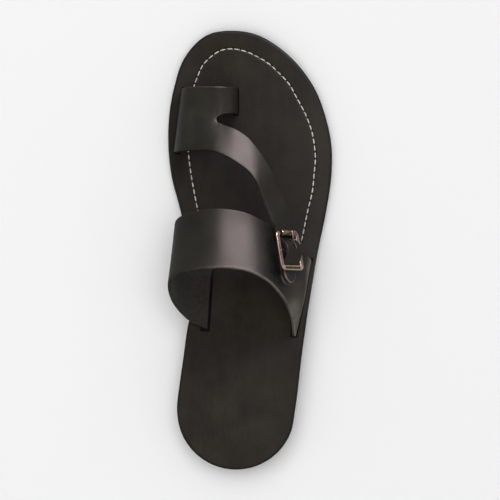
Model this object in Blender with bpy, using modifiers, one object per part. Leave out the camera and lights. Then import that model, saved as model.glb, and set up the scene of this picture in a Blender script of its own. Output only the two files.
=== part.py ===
# Right-foot leather slipper: a flat leather sole on a low two-lift heel, a toe strap that loops
# the big toe and runs back to a buckle, and a wide instep strap that carries the buckle.
# Metres, +Z up, +Y towards the toe, +X towards the outer (lateral) side of a right foot.
# The origin lies on the floor under the middle of the shoe's box.

import math
from collections import namedtuple

import bmesh
import bpy
from mathutils import Matrix, Vector

# Driving sizes of the shoe
SHOE_LENGTH = 0.280
BALL_WIDTH = 0.1045
INSTEP_HEIGHT = 0.057
TOE_SPRING = 0.006

# Leather layers
INSOLE_THICKNESS = 0.003
OUTSOLE_THICKNESS = 0.005
UPPER_LIFT_HEIGHT = 0.006
LOWER_LIFT_HEIGHT = 0.005
STRAP_WALL = 0.0024
INSOLE_INSET = 0.0008
LIFT_INSET = 0.0005
EDGE_RADIUS = 0.0009

# Clearances
FIT_GAP = 0.0003
SLIT_GAP = 0.0004

# Places along the shoe, as shares of its length from the back of the heel
WAIST_START = 0.32
BALL_START = 0.58
SPRING_START = 0.76
BEND_STATIONS = 26

# Heel: a half round at the back, and two lifts whose fronts are skived at a slope.
# The breast is the front of a lift, and it runs further forward on the inner side.
HEEL_RADIUS = 0.0376
HEEL_CENTRE_ACROSS = -0.0089
HEEL_CENTRE_ALONG = HEEL_RADIUS
UPPER_BREAST_ALONG = 0.0835
LOWER_BREAST_ALONG = 0.059
BREAST_RUN = 0.0075
BREAST_SKEW = math.radians(4.0)

# Smoothness of the faceted forms
OUTLINE_STEPS = 3
STRAP_STEPS = 4
STRAP_STRIPS = 6
HEEL_ARC_POINTS = 9
HOOK_STEPS = 7
FOLD_STEPS = 8
CORNER_STEPS = 3
BAR_SIDES = 16
MERGE_DISTANCE = 1e-6
CUT_REACH = 0.012

# Buckle, in its own frame: x across the strap, y towards the toe, z away from the foot
BUCKLE_ROW = 8.80
BUCKLE_SHARE = 0.315
BUCKLE_SWING = 0.165
BUCKLE_TILT = math.radians(5.0)
FRAME_LENGTH = 0.0256
FRAME_WIDTH = 0.0226
FRAME_CORNER = 0.0022
FRAME_HEIGHT = 0.0062
BAR_WIDTH = 0.0031
BAR_THICKNESS = 0.0014
CENTRE_BAR_HEIGHT = 0.0046
CENTRE_BAR_RADIUS = 0.0009
CENTRE_BAR_CRANK = 0.0010
END_TUBE_RADIUS = 0.0021
END_TUBE_LENGTH = 0.0142
END_TUBE_ACROSS = 0.0008
PRONG_RADIUS = 0.0007
PRONG_ACROSS = 0.0015
TAB_WIDTH = 0.0126
TAB_THICKNESS = 0.0010
TAB_END_RADIUS = 0.0050
PRONG_SLOT = 0.0032
PRONG_SLOT_LENGTH = 0.0086
TAIL_WIDTH = 0.0138
TAIL_ACROSS = 0.0007
TAIL_HOLE_WIDTH = 0.0028
TAIL_HOLE_LENGTH = 0.0080
TAIL_HOLE_ALONG = 0.0040
TAIL_TIP_BLUNT = 0.12
NOTCH_RADIUS = 0.0026
PRONG_HOOK_START = math.radians(-60.0)
PRONG_HOOK_TURN = math.radians(-210.0)

Outline = namedtuple("Outline", "along medial lateral")
Edge = namedtuple("Edge", "across along height")
Spot = namedtuple("Spot", "along height")

# Sole outline in percent: along is of SHOE_LENGTH from the heel, the sides are of BALL_WIDTH.
SOLE_OUTLINE = (
    Outline(19.3, -43.0, 29.6),
    Outline(24.3, -41.1, 31.0),
    Outline(32.5, -38.0, 34.0),
    Outline(35.7, -36.1, 35.2),
    Outline(41.4, -35.8, 37.7),
    Outline(50.0, -38.1, 41.7),
    Outline(58.6, -42.3, 46.5),
    Outline(67.1, -48.1, 49.8),
    Outline(74.3, -50.0, 49.7),
    Outline(81.4, -49.2, 45.4),
    Outline(87.1, -46.4, 39.2),
    Outline(92.9, -41.4, 27.8),
    Outline(97.1, -33.1, 14.4),
    Outline(99.3, -24.3, 2.5),
)
TOE_TIP_ACROSS = -11.7

# Strap edges in percent: across is of BALL_WIDTH from the centre line, along is of SHOE_LENGTH
# from the heel, and height is of INSTEP_HEIGHT above the insole. Rows run from the inner side
# over the foot to the outer side, and both edges of a strap have the same rows.
INSTEP_FRONT = (
    Edge(-24.4, 49.3, 5.4),
    Edge(-31.6, 50.9, 10.5),
    Edge(-41.1, 53.8, 21.0),
    Edge(-44.5, 55.9, 36.0),
    Edge(-41.6, 57.5, 54.0),
    Edge(-32.1, 58.8, 70.0),
    Edge(-17.2, 59.3, 80.0),
    Edge(-2.9, 58.4, 77.0),
    Edge(9.1, 56.1, 66.0),
    Edge(21.5, 52.7, 42.0),
    Edge(32.5, 49.6, 17.5),
    Edge(36.5, 47.9, 3.0),
)
INSTEP_REAR = (
    Edge(-27.3, 32.1, 5.2),
    Edge(-36.8, 33.9, 10.5),
    Edge(-45.5, 37.5, 24.0),
    Edge(-48.8, 41.3, 44.0),
    Edge(-46.7, 43.9, 68.0),
    Edge(-38.3, 45.2, 88.0),
    Edge(-20.6, 45.9, 100.0),
    Edge(-3.8, 45.4, 97.0),
    Edge(8.6, 43.4, 86.0),
    Edge(18.9, 39.6, 60.0),
    Edge(24.7, 35.5, 28.0),
    Edge(26.6, 30.4, 3.0),
)

# The toe strap is one cut of leather with three edges. The toe edge and the heel edge start at
# the inner side, and the notch line lies between them and splits into two edges at the notch.
TOE_EDGE = (
    Edge(-40.1, 86.8, 2.6),
    Edge(-40.2, 86.8, 18.0),
    Edge(-36.9, 87.0, 33.0),
    Edge(-30.8, 87.1, 41.5),
    Edge(-21.1, 87.1, 45.5),
    Edge(-16.2, 87.0, 44.0),
    Edge(-11.6, 86.9, 36.5),
    Edge(-9.0, 86.7, 19.0),
    Edge(-8.6, 86.6, 2.6),
)
NOTCH_LINE = (
    Edge(-42.4, 79.8, 2.6),
    Edge(-42.7, 79.9, 18.4),
    Edge(-39.6, 79.8, 33.3),
    Edge(-33.5, 79.8, 42.5),
    Edge(-20.5, 79.5, 49.0),
)
LOOP_HEEL_EDGE = (
    Edge(-17.2, 80.8, 47.8),
    Edge(-12.2, 81.0, 39.6),
    Edge(-8.9, 80.9, 19.8),
    Edge(-8.5, 80.8, 2.6),
)
SWEEP_TOE_EDGE = (
    Edge(-16.5, 78.3, 51.4),
    Edge(-10.0, 77.5, 54.9),
    Edge(-2.7, 75.8, 56.5),
    Edge(3.8, 73.1, 55.8),
    Edge(10.5, 69.3, 52.6),
    Edge(16.7, 64.6, 50.0),
    Edge(22.5, 59.3, 47.4),
)
HEEL_EDGE = (
    Edge(-44.9, 72.1, 2.6),
    Edge(-45.2, 72.2, 19.3),
    Edge(-42.1, 72.4, 38.6),
    Edge(-35.4, 72.5, 51.8),
    Edge(-24.4, 72.5, 60.5),
    Edge(-16.7, 71.5, 65.0),
    Edge(-9.6, 70.0, 68.1),
    Edge(-1.9, 67.9, 69.8),
    Edge(2.9, 65.7, 70.2),
    Edge(6.3, 63.0, 69.8),
    Edge(9.9, 59.5, 68.9),
    Edge(13.7, 56.1, 68.1),
)

# Lines in the buckle's frame, in metres. The middle of the tail's wall dips under the frame's ends
# and bulges over the bar in the middle. The prong arches over the tail from its hook to the tube
# on the frame's toe end. The tab's two layers leave the middle bar, and the longer one runs on
# under the tail, skived thin.
TAIL_LINE = (
    Spot(0.0150, 0.0025),
    Spot(0.0113, 0.0024),
    Spot(0.0090, 0.0032),
    Spot(0.0060, 0.0063),
    Spot(0.0032, 0.0084),
    Spot(0.0000, 0.0090),
    Spot(-0.0034, 0.0084),
    Spot(-0.0064, 0.0064),
    Spot(-0.0094, 0.0034),
    Spot(-0.0130, 0.0032),
    Spot(-0.0200, 0.0032),
)
PRONG_LINE = (
    Spot(0.0022, 0.0069),
    Spot(0.0044, 0.0083),
    Spot(0.0074, 0.0093),
    Spot(0.0113, 0.0094),
    Spot(0.0126, 0.0092),
)
TAB_LINE = (
    Spot(-0.0025, 0.0062),
    Spot(-0.0050, 0.0042),
    Spot(-0.0070, 0.0025),
    Spot(-0.0084, 0.0017),
    Spot(-0.0213, 0.0017),
    Spot(-0.0213, 0.0011),
    Spot(-0.0085, 0.0011),
)
TAB_OPENING_END = Spot(-0.0046, 0.0030)

BLACK_LEATHER = ("black_leather", (0.020, 0.019, 0.018), 0.42, 0.0)
INSOLE_LEATHER = ("insole_leather", (0.026, 0.022, 0.019), 0.62, 0.0)
SOLE_LEATHER = ("sole_leather", (0.018, 0.017, 0.016), 0.55, 0.0)
AGED_BRASS = ("aged_brass", (0.36, 0.27, 0.18), 0.38, 1.0)


# General tools


def clear_scene():
    for scene_object in list(bpy.data.objects):
        bpy.data.objects.remove(scene_object)


def new_collection(name):
    collection = bpy.data.collections.new(name)
    bpy.context.scene.collection.children.link(collection)
    return collection


def material(finish):
    name, colour, roughness, metallic = finish
    made = bpy.data.materials.get(name)
    if made is None:
        made = bpy.data.materials.new(name)
        made.use_nodes = True
        shader = made.node_tree.nodes["Principled BSDF"]
        shader.inputs["Base Color"].default_value = (*colour, 1.0)
        shader.inputs["Roughness"].default_value = roughness
        shader.inputs["Metallic"].default_value = metallic
        made.diffuse_color = (*colour, 1.0)
    return made


def add_object(name, data, collection, finish=None):
    made = bpy.data.objects.new(name, data)
    collection.objects.link(made)
    if finish is not None:
        data.materials.append(material(finish))
    return made


def mesh_from(bm, name):
    mesh = bpy.data.meshes.new(name)
    bmesh.ops.recalc_face_normals(bm, faces=bm.faces)
    bm.to_mesh(mesh)
    bm.free()
    return mesh


def cut_with(piece, cutter, operation="DIFFERENCE"):
    modifier = piece.modifiers.new("cut by " + cutter.name, "BOOLEAN")
    modifier.operation = operation
    modifier.solver = "EXACT"
    modifier.object = cutter
    cutter.hide_render = True
    cutter.display_type = "WIRE"


def mesh_of_curve(curve_object, collection, finish=None):
    """Replaces a curve by its closed and smooth mesh, so that it can be cut or joined."""
    graph = bpy.context.evaluated_depsgraph_get()
    mesh = bpy.data.meshes.new_from_object(curve_object.evaluated_get(graph))
    bm = bmesh.new()
    bm.from_mesh(mesh)
    bmesh.ops.remove_doubles(bm, verts=bm.verts, dist=MERGE_DISTANCE)
    bmesh.ops.recalc_face_normals(bm, faces=bm.faces)
    for face in bm.faces:
        face.smooth = len(face.verts) == 4
    bm.to_mesh(mesh)
    bm.free()
    name, place = curve_object.name, curve_object.matrix_world.copy()
    bpy.data.objects.remove(curve_object)
    made = add_object(name, mesh, collection, finish)
    made.matrix_world = place
    return made


def smooth_point(before, start, end, after, share):
    """A point on the centripetal curve from start to end that also heeds its neighbours."""
    points = (before, start, end, after)
    knots = [0.0]
    for first, second in zip(points, points[1:]):
        knots.append(knots[-1] + max((second - first).length, 1e-9) ** 0.5)
    place = knots[1] + (knots[2] - knots[1]) * share
    level = list(points)
    for width in (1, 2, 3):
        level = [
            level[i].lerp(level[i + 1], (place - knots[low]) / (knots[high] - knots[low]))
            for i, low, high in spans(width)
        ]
    return level[0]


def spans(width):
    """Knot pairs that each round of the curve's pyramid blends between."""
    if width == 1:
        return ((0, 0, 1), (1, 1, 2), (2, 2, 3))
    if width == 2:
        return ((0, 0, 2), (1, 1, 3))
    return ((0, 1, 2),)


def curve_at(points, row):
    """The curve through the points, at a row number that may lie between two of them."""
    index = min(max(int(math.floor(row)), 0), len(points) - 2)
    start, end = points[index], points[index + 1]
    before = points[index - 1] if index > 0 else start * 2 - end
    after = points[index + 2] if index + 2 < len(points) else end * 2 - start
    return smooth_point(before, start, end, after, row - index)


def curve_through(points, steps):
    count = (len(points) - 1) * steps
    return [curve_at(points, i / steps) for i in range(count + 1)]


# The last: places on the shoe


def across(percent):
    return percent * BALL_WIDTH / 100.0


def along(percent):
    return (percent / 100.0 - 0.5) * SHOE_LENGTH


def share_along(y):
    return y / SHOE_LENGTH + 0.5


def ease(share):
    share = min(max(share, 0.0), 1.0)
    return share * share * (3.0 - 2.0 * share)


def sole_rise(y):
    """Height of the outsole's underside: flat on the heel, falling to the ball, rising at the toe."""
    place = share_along(y)
    heel_height = UPPER_LIFT_HEIGHT + LOWER_LIFT_HEIGHT
    heel = heel_height * (1.0 - ease((place - WAIST_START) / (BALL_START - WAIST_START)))
    spring = max(0.0, (place - SPRING_START) / (1.0 - SPRING_START))
    return heel + TOE_SPRING * spring**2


def footbed(y):
    """Height of the insole's top face."""
    return sole_rise(y) + OUTSOLE_THICKNESS + FIT_GAP + INSOLE_THICKNESS


def last_point(edge):
    """A row of a strap's table as x, y and the height above the insole."""
    return Vector((across(edge.across), along(edge.along), edge.height * INSTEP_HEIGHT / 100.0))


def on_footbed(point):
    return Vector((point.x, point.y, point.z + footbed(point.y)))


def off_footbed(point):
    return Vector((point.x, point.y, point.z - footbed(point.y)))


def sole_outline():
    """Closed outline of the sole, from the outer end of the heel's half round, anticlockwise."""
    outer = [Vector((across(row.lateral), along(row.along))) for row in SOLE_OUTLINE]
    inner = [Vector((across(row.medial), along(row.along))) for row in reversed(SOLE_OUTLINE)]
    tip = Vector((across(TOE_TIP_ACROSS), along(100.0)))
    centre = Vector((HEEL_CENTRE_ACROSS, HEEL_CENTRE_ALONG - SHOE_LENGTH / 2))
    heel = []
    for i in range(HEEL_ARC_POINTS):
        angle = math.pi + math.pi * i / (HEEL_ARC_POINTS - 1)
        heel.append(centre + HEEL_RADIUS * Vector((math.cos(angle), math.sin(angle))))
    ring = outer + [tip] + inner + heel
    points = []
    for i, start in enumerate(ring):
        end, after = ring[(i + 1) % len(ring)], ring[(i + 2) % len(ring)]
        for step in range(OUTLINE_STEPS):
            points.append(smooth_point(ring[i - 1], start, end, after, step / OUTLINE_STEPS))
    return points


def inset_outline(points, inset):
    """The outline moved inwards by the inset."""
    moved = []
    for i, point in enumerate(points):
        run = (points[(i + 1) % len(points)] - points[i - 1]).normalized()
        moved.append(point + inset * Vector((-run.y, run.x)))
    return moved


# Sole layers


def flat_layer(points, bottom, top):
    """A flat plate of the outline between two heights, as a bmesh."""
    bm = bmesh.new()
    face = bm.faces.new([bm.verts.new((p.x, p.y, bottom)) for p in points])
    raised = bmesh.ops.extrude_face_region(bm, geom=[face])["geom"]
    verts = [item for item in raised if isinstance(item, bmesh.types.BMVert)]
    bmesh.ops.translate(bm, verts=verts, vec=(0.0, 0.0, top - bottom))
    return bm


def round_rim(bm, height, radius):
    """Rounds the edge of a plate at one of its two heights."""
    rim = [
        edge
        for edge in bm.edges
        if all(abs(vert.co.z - height) < MERGE_DISTANCE for vert in edge.verts)
    ]
    bmesh.ops.bevel(bm, geom=rim, offset=radius, segments=2, profile=0.5, affect="EDGES", material=-1)


def station_along(station):
    return along(100.0 * station / BEND_STATIONS)


def bend_to_sole(bm):
    """Cuts the plate across at even stations, then lifts each flat strip to the side profile."""
    for station in range(1, BEND_STATIONS):
        spot = (0.0, station_along(station), 0.0)
        everything = bm.verts[:] + bm.edges[:] + bm.faces[:]
        bmesh.ops.bisect_plane(bm, geom=everything, dist=MERGE_DISTANCE, plane_co=spot, plane_no=(0, 1, 0))
    for vert in bm.verts:
        strip = min(max(share_along(vert.co.y), 0.0), 1.0) * BEND_STATIONS
        station = min(int(strip), BEND_STATIONS - 1)
        low = sole_rise(station_along(station))
        high = sole_rise(station_along(station + 1))
        vert.co.z += low + (high - low) * (strip - station)


def make_outsole(parts, outline):
    bm = flat_layer(outline, 0.0, OUTSOLE_THICKNESS)
    round_rim(bm, 0.0, EDGE_RADIUS)
    bend_to_sole(bm)
    return add_object("outsole", mesh_from(bm, "outsole"), parts, SOLE_LEATHER)


def make_insole(parts, cutters, outline):
    bottom = OUTSOLE_THICKNESS + FIT_GAP
    bm = flat_layer(inset_outline(outline, INSOLE_INSET), bottom, bottom + INSOLE_THICKNESS)
    round_rim(bm, bottom + INSOLE_THICKNESS, EDGE_RADIUS)
    bend_to_sole(bm)
    insole = add_object("insole", mesh_from(bm, "insole"), parts, INSOLE_LEATHER)
    slits = {
        "instep_inner_slit": (INSTEP_FRONT[0], INSTEP_REAR[0]),
        "instep_outer_slit": (INSTEP_FRONT[-1], INSTEP_REAR[-1]),
        "toe_inner_slit": (TOE_EDGE[0], HEEL_EDGE[0]),
        "toe_gap_slit": (TOE_EDGE[-1], LOOP_HEEL_EDGE[-1]),
    }
    for name, (front, rear) in slits.items():
        cut_with(insole, slit_cutter(cutters, name, last_point(front), last_point(rear)))
    return insole


def slit_cutter(cutters, name, front, rear):
    """A block that opens the insole where a strap's end goes down between the sole's layers."""
    run = Vector((rear.x - front.x, rear.y - front.y, 0.0))
    size = (run.length + 2 * SLIT_GAP, STRAP_WALL + 2 * SLIT_GAP, 2 * CUT_REACH)
    cutter = block(name, size, cutters)
    cutter.location = on_footbed((front + rear) / 2)
    cutter.rotation_euler.z = math.atan2(run.y, run.x)
    return cutter


def make_lift(parts, outline, name, bottom, top, breast_along):
    """A heel lift of the sole's outline, cut off by the skived slope of its breast."""
    bm = flat_layer(inset_outline(outline, LIFT_INSET), bottom, top)
    slope = Vector((0.0, top - bottom, BREAST_RUN)).normalized()
    slope = Matrix.Rotation(-BREAST_SKEW, 3, "Z") @ Vector((0.0, slope.y, -slope.z))
    middle = Vector((HEEL_CENTRE_ACROSS, breast_along - SHOE_LENGTH / 2, top))
    everything = bm.verts[:] + bm.edges[:] + bm.faces[:]
    cut = bmesh.ops.bisect_plane(
        bm, geom=everything, dist=MERGE_DISTANCE, plane_co=middle, plane_no=slope, clear_outer=True
    )
    rim = [item for item in cut["geom_cut"] if isinstance(item, bmesh.types.BMEdge)]
    bmesh.ops.contextual_create(bm, geom=rim)
    return add_object(name, mesh_from(bm, name), parts, SOLE_LEATHER)


def make_heel(parts, outline):
    upper_bottom = LOWER_LIFT_HEIGHT + FIT_GAP / 2
    upper_top = LOWER_LIFT_HEIGHT + UPPER_LIFT_HEIGHT - FIT_GAP
    make_lift(parts, outline, "heel_lift_upper", upper_bottom, upper_top, UPPER_BREAST_ALONG)
    lower_top = LOWER_LIFT_HEIGHT - FIT_GAP / 2
    make_lift(parts, outline, "heel_lift_lower", 0.0, lower_top, LOWER_BREAST_ALONG)


def round_bar(name, radius, length, turn, collection):
    """A round bar about its own middle, turned as asked."""
    bm = bmesh.new()
    size = {"segments": BAR_SIDES, "radius1": radius, "radius2": radius, "depth": length}
    bmesh.ops.create_cone(bm, cap_ends=True, matrix=turn, **size)
    return add_object(name, mesh_from(bm, name), collection)


def block(name, size, collection):
    bm = bmesh.new()
    bmesh.ops.create_cube(bm, size=1.0)
    bmesh.ops.scale(bm, vec=size, verts=bm.verts)
    return add_object(name, mesh_from(bm, name), collection)


# Straps


def root_below(mouth):
    """The end of a strap inside its slit, just clear of the outsole."""
    return Vector((mouth.x, mouth.y, -INSOLE_THICKNESS))


def add_strip(bm, first_edge, second_edge, strips):
    """A ruled sheet between two edges that have the same number of points."""
    rows = []
    for start, end in zip(first_edge, second_edge):
        spots = [on_footbed(start.lerp(end, i / strips)) for i in range(strips + 1)]
        rows.append([bm.verts.new(spot) for spot in spots])
    for row, following in zip(rows, rows[1:]):
        for i in range(strips):
            bm.faces.new((row[i], row[i + 1], following[i + 1], following[i]))


def leather_sheet(bm, name, parts):
    """Merges a sheet's strips and gives it the wall of the leather."""
    bmesh.ops.remove_doubles(bm, verts=bm.verts, dist=MERGE_DISTANCE)
    sheet = add_object(name, mesh_from(bm, name), parts, BLACK_LEATHER)
    wall = sheet.modifiers.new("wall", "SOLIDIFY")
    wall.thickness = STRAP_WALL
    wall.offset = 0.0
    wall.use_even_offset = True
    return sheet


def instep_edges():
    return [last_point(edge) for edge in INSTEP_FRONT], [last_point(edge) for edge in INSTEP_REAR]


def instep_point(row, share):
    """The middle of the instep strap's wall, share 0 at its toe edge and 1 at its heel edge."""
    front, rear = instep_edges()
    return on_footbed(curve_at(front, row).lerp(curve_at(rear, row), share))


def make_instep_strap(parts):
    bm = bmesh.new()
    edges = []
    for points in instep_edges():
        line = curve_through(points, STRAP_STEPS)
        edges.append([root_below(line[0])] + line + [root_below(line[-1])])
    add_strip(bm, edges[0], edges[1], STRAP_STRIPS)
    return leather_sheet(bm, "instep_strap", parts)


def buckle_frame_matrix():
    """The buckle's own frame, seated on the instep strap and lifted a little at its outer side."""
    step = 0.01
    run = instep_point(BUCKLE_ROW + step, BUCKLE_SHARE) - instep_point(BUCKLE_ROW - step, BUCKLE_SHARE)
    ruling = instep_point(BUCKLE_ROW, 0.0) - instep_point(BUCKLE_ROW, 1.0)
    normal = run.cross(ruling).normalized()
    origin = instep_point(BUCKLE_ROW, BUCKLE_SHARE) + normal * STRAP_WALL / 2
    toeward = Vector((-BUCKLE_SWING, 1.0, 0.0))
    toeward = Vector((toeward.x, toeward.y, -(toeward.x * normal.x + toeward.y * normal.y) / normal.z))
    toeward.normalize()
    raised = Matrix.Rotation(-BUCKLE_TILT, 3, toeward) @ normal
    side = toeward.cross(raised)
    matrix = Matrix((side, toeward, raised)).transposed().to_4x4()
    matrix.translation = origin
    return matrix


def tail_edges(place):
    """The two edges of the tail through the buckle, towards the rounded tip."""
    toe_side, heel_side = [], []
    for spot in TAIL_LINE:
        for edge, side in ((toe_side, TAIL_WIDTH / 2), (heel_side, -TAIL_WIDTH / 2)):
            edge.append(off_footbed(place @ Vector((TAIL_ACROSS + side, spot.along, spot.height))))
    return toe_side, heel_side


def round_tip(first, second):
    """Draws the last points of two edges together into a half-round tip."""
    middles = [a.lerp(b, 0.5) for a, b in zip(first, second)]
    radius = TAIL_WIDTH / 2
    distance = 0.0
    for i in reversed(range(len(middles))):
        if i + 1 < len(middles):
            distance += (middles[i + 1] - middles[i]).length
        if distance >= radius:
            break
        share = max(math.sqrt(1.0 - (1.0 - distance / radius) ** 2), TAIL_TIP_BLUNT)
        first[i] = middles[i].lerp(first[i], share)
        second[i] = middles[i].lerp(second[i], share)


def round_notch(first, second):
    """Parts two edges that leave one point in a round end instead of a sharp one."""
    for i in range(1, min(len(first), len(second))):
        middle = first[i].lerp(second[i], 0.5)
        distance = (middle - first[0]).length
        half = (first[i] - second[i]).length / 2
        wanted = math.sqrt(max(distance * (2 * NOTCH_RADIUS - distance), 0.0))
        if distance > NOTCH_RADIUS or half >= wanted:
            break
        first[i] = middle.lerp(first[i], wanted / half)
        second[i] = middle.lerp(second[i], wanted / half)


def make_toe_strap(parts, cutters, place):
    toe = curve_through([last_point(edge) for edge in TOE_EDGE], STRAP_STEPS)
    notch = [last_point(edge) for edge in NOTCH_LINE]
    shared = curve_through(notch, STRAP_STEPS)
    loop = curve_through(notch[-1:] + [last_point(edge) for edge in LOOP_HEEL_EDGE], STRAP_STEPS)
    tail_toe, tail_heel = tail_edges(place)
    sweep = [last_point(edge) for edge in SWEEP_TOE_EDGE] + tail_toe
    sweep = curve_through(notch[-1:] + sweep, STRAP_STEPS)
    heel = curve_through([last_point(edge) for edge in HEEL_EDGE] + tail_heel, STRAP_STEPS)
    round_notch(loop, sweep)
    loop_edge = [root_below(shared[0])] + shared + loop[1:] + [root_below(loop[-1])]
    toe_edge = [root_below(toe[0])] + toe + [root_below(toe[-1])]
    sweep_edge = [root_below(shared[0])] + shared + sweep[1:]
    heel_edge = [root_below(heel[0])] + heel
    round_tip(sweep_edge, heel_edge)
    bm = bmesh.new()
    add_strip(bm, toe_edge, loop_edge, STRAP_STRIPS)
    add_strip(bm, sweep_edge, heel_edge, STRAP_STRIPS)
    strap = leather_sheet(bm, "toe_strap", parts)
    hole = round_bar("tail_hole", TAIL_HOLE_WIDTH / 2, CUT_REACH, Matrix(), cutters)
    stretch = Matrix.Diagonal((1.0, TAIL_HOLE_LENGTH / TAIL_HOLE_WIDTH, 1.0, 1.0))
    hole.data.transform(stretch)
    hole.matrix_world = place @ Matrix.Translation((PRONG_ACROSS, TAIL_HOLE_ALONG, FRAME_HEIGHT))
    cut_with(strap, hole)
    return strap


# Buckle


def poly_curve(name, points, collection, cyclic=False):
    curve = bpy.data.curves.new(name, "CURVE")
    curve.dimensions = "3D"
    spline = curve.splines.new("POLY")
    spline.points.add(len(points) - 1)
    for spot, point in zip(spline.points, points):
        spot.co = (*point, 1.0)
    spline.use_cyclic_u = cyclic
    return add_object(name, curve, collection)


def rounded_box_ring(width, length, radius, corner_steps):
    """Points round a box with rounded corners, anticlockwise."""
    quarter = math.pi / 2
    ring = []
    for corner, (sign_x, sign_y) in enumerate(((1, 1), (-1, 1), (-1, -1), (1, -1))):
        centre = Vector((sign_x * (width / 2 - radius), sign_y * (length / 2 - radius)))
        for i in range(corner_steps + 1):
            angle = quarter * (corner + i / corner_steps)
            ring.append(centre + radius * Vector((math.cos(angle), math.sin(angle))))
    return ring


def make_buckle_frame(parts, cutters, place):
    """A flat frame with a tube on its toe end and a cranked bar that runs low across its middle."""
    width, length = FRAME_WIDTH - BAR_WIDTH, FRAME_LENGTH - BAR_WIDTH
    ring = rounded_box_ring(width, length, FRAME_CORNER, CORNER_STEPS)
    section = rounded_box_ring(BAR_WIDTH, BAR_THICKNESS, BAR_THICKNESS / 4, 1)
    profile = poly_curve("bar_section", [(*spot, 0.0) for spot in section], cutters, cyclic=True)
    profile.hide_render = True
    frame = poly_curve("buckle_frame", [(*spot, FRAME_HEIGHT) for spot in ring], parts, cyclic=True)
    frame.data.bevel_mode = "OBJECT"
    frame.data.bevel_object = profile
    frame = mesh_of_curve(frame, parts, AGED_BRASS)
    reach = width / 2
    crank = [(reach, FRAME_HEIGHT), (reach, CENTRE_BAR_HEIGHT + CENTRE_BAR_CRANK)]
    crank.append((reach - CENTRE_BAR_CRANK, CENTRE_BAR_HEIGHT))
    line = [(-x, 0.0, z) for x, z in crank] + [(x, 0.0, z) for x, z in reversed(crank)]
    bar = wire("centre_bar", line, CENTRE_BAR_RADIUS, cutters)
    cut_with(frame, bar, "UNION")
    turn = Matrix.Rotation(math.pi / 2, 4, "Y")
    tube = round_bar("end_tube", END_TUBE_RADIUS, END_TUBE_LENGTH, turn, cutters)
    cut_with(frame, tube, "UNION")
    frame.matrix_world = place
    bar.matrix_world = place
    tube.matrix_world = place @ Matrix.Translation((END_TUBE_ACROSS, length / 2, FRAME_HEIGHT))
    return frame


def wire(name, line, radius, collection, finish=None):
    """A round wire along a line, as a closed mesh."""
    made = poly_curve(name, line, collection)
    made.data.bevel_depth = radius
    made.data.bevel_resolution = 2
    made.data.use_fill_caps = True
    return mesh_of_curve(made, collection, finish)


def make_prong(parts, place):
    """A bent wire that hooks the middle bar, comes up through the tail and rests on the end tube."""
    hook = CENTRE_BAR_RADIUS + FIT_GAP + PRONG_RADIUS
    line = []
    for i in range(HOOK_STEPS + 1):
        angle = PRONG_HOOK_START + PRONG_HOOK_TURN * i / HOOK_STEPS
        height = CENTRE_BAR_HEIGHT + hook * math.sin(angle)
        line.append((PRONG_ACROSS, hook * math.cos(angle), height))
    line += [(PRONG_ACROSS, spot.along, spot.height) for spot in PRONG_LINE]
    prong = wire("buckle_prong", line, PRONG_RADIUS, parts, AGED_BRASS)
    prong.matrix_world = place
    return prong


def round_tab_end(mesh):
    """Rounds the two corners at the far end of the tab, where it stands on its side."""
    end = min(spot.along for spot in TAB_LINE)
    bm = bmesh.new()
    bm.from_mesh(mesh)
    corners = [
        edge
        for edge in bm.edges
        if all(abs(vert.co.x - end) < MERGE_DISTANCE for vert in edge.verts)
        and edge.verts[0].co.z * edge.verts[1].co.z > 0
    ]
    bmesh.ops.bevel(
        bm, geom=corners, offset=TAB_END_RADIUS, segments=FOLD_STEPS // 2, profile=0.5, affect="EDGES"
    )
    bm.to_mesh(mesh)
    bm.free()


def make_buckle_tab(parts, cutters, place):
    """A leather tab folded round the middle bar, whose two layers lie on the instep strap."""
    inner = CENTRE_BAR_RADIUS + FIT_GAP
    outer = inner + TAB_THICKNESS
    outline, opening = [], []
    for i in range(FOLD_STEPS + 1):
        angle = math.pi * (i / FOLD_STEPS - 0.5)
        outline.append((outer * math.cos(angle), CENTRE_BAR_HEIGHT + outer * math.sin(angle)))
        opening.append((inner * math.cos(angle), CENTRE_BAR_HEIGHT + inner * math.sin(angle)))
    outline += TAB_LINE
    opening.append(TAB_OPENING_END)
    curve = bpy.data.curves.new("buckle_tab", "CURVE")
    curve.dimensions = "2D"
    curve.fill_mode = "BOTH"
    curve.extrude = TAB_WIDTH / 2
    for ring in (outline, opening):
        spline = curve.splines.new("POLY")
        spline.points.add(len(ring) - 1)
        for spot, (y, z) in zip(spline.points, ring):
            spot.co = (y, z, 0.0, 1.0)
        spline.use_cyclic_u = True
    tab = add_object("buckle_tab", curve, parts)
    tab = mesh_of_curve(tab, parts, BLACK_LEATHER)
    round_tab_end(tab.data)
    stand_up = Matrix(((0, 0, 1, 0), (1, 0, 0, 0), (0, 1, 0, 0), (0, 0, 0, 1)))
    tab.matrix_world = place @ stand_up
    slot = block("prong_slot", (PRONG_SLOT, PRONG_SLOT_LENGTH, CUT_REACH), cutters)
    slot.matrix_world = place @ Matrix.Translation((PRONG_ACROSS, outer / 2, CENTRE_BAR_HEIGHT))
    cut_with(tab, slot)
    return tab


def main():
    clear_scene()
    parts = new_collection("leather_slipper")
    cutters = new_collection("cutters")
    outline = sole_outline()
    make_outsole(parts, outline)
    make_heel(parts, outline)
    make_insole(parts, cutters, outline)
    make_instep_strap(parts)
    bpy.context.view_layer.update()
    place = buckle_frame_matrix()
    make_toe_strap(parts, cutters, place)
    make_buckle_frame(parts, cutters, place)
    make_prong(parts, place)
    make_buckle_tab(parts, cutters, place)


main()
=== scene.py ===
import math
import bmesh
import bpy
from mathutils import Matrix, Quaternion, Vector, kdtree, noise
from mathutils.bvhtree import BVHTree


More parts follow.
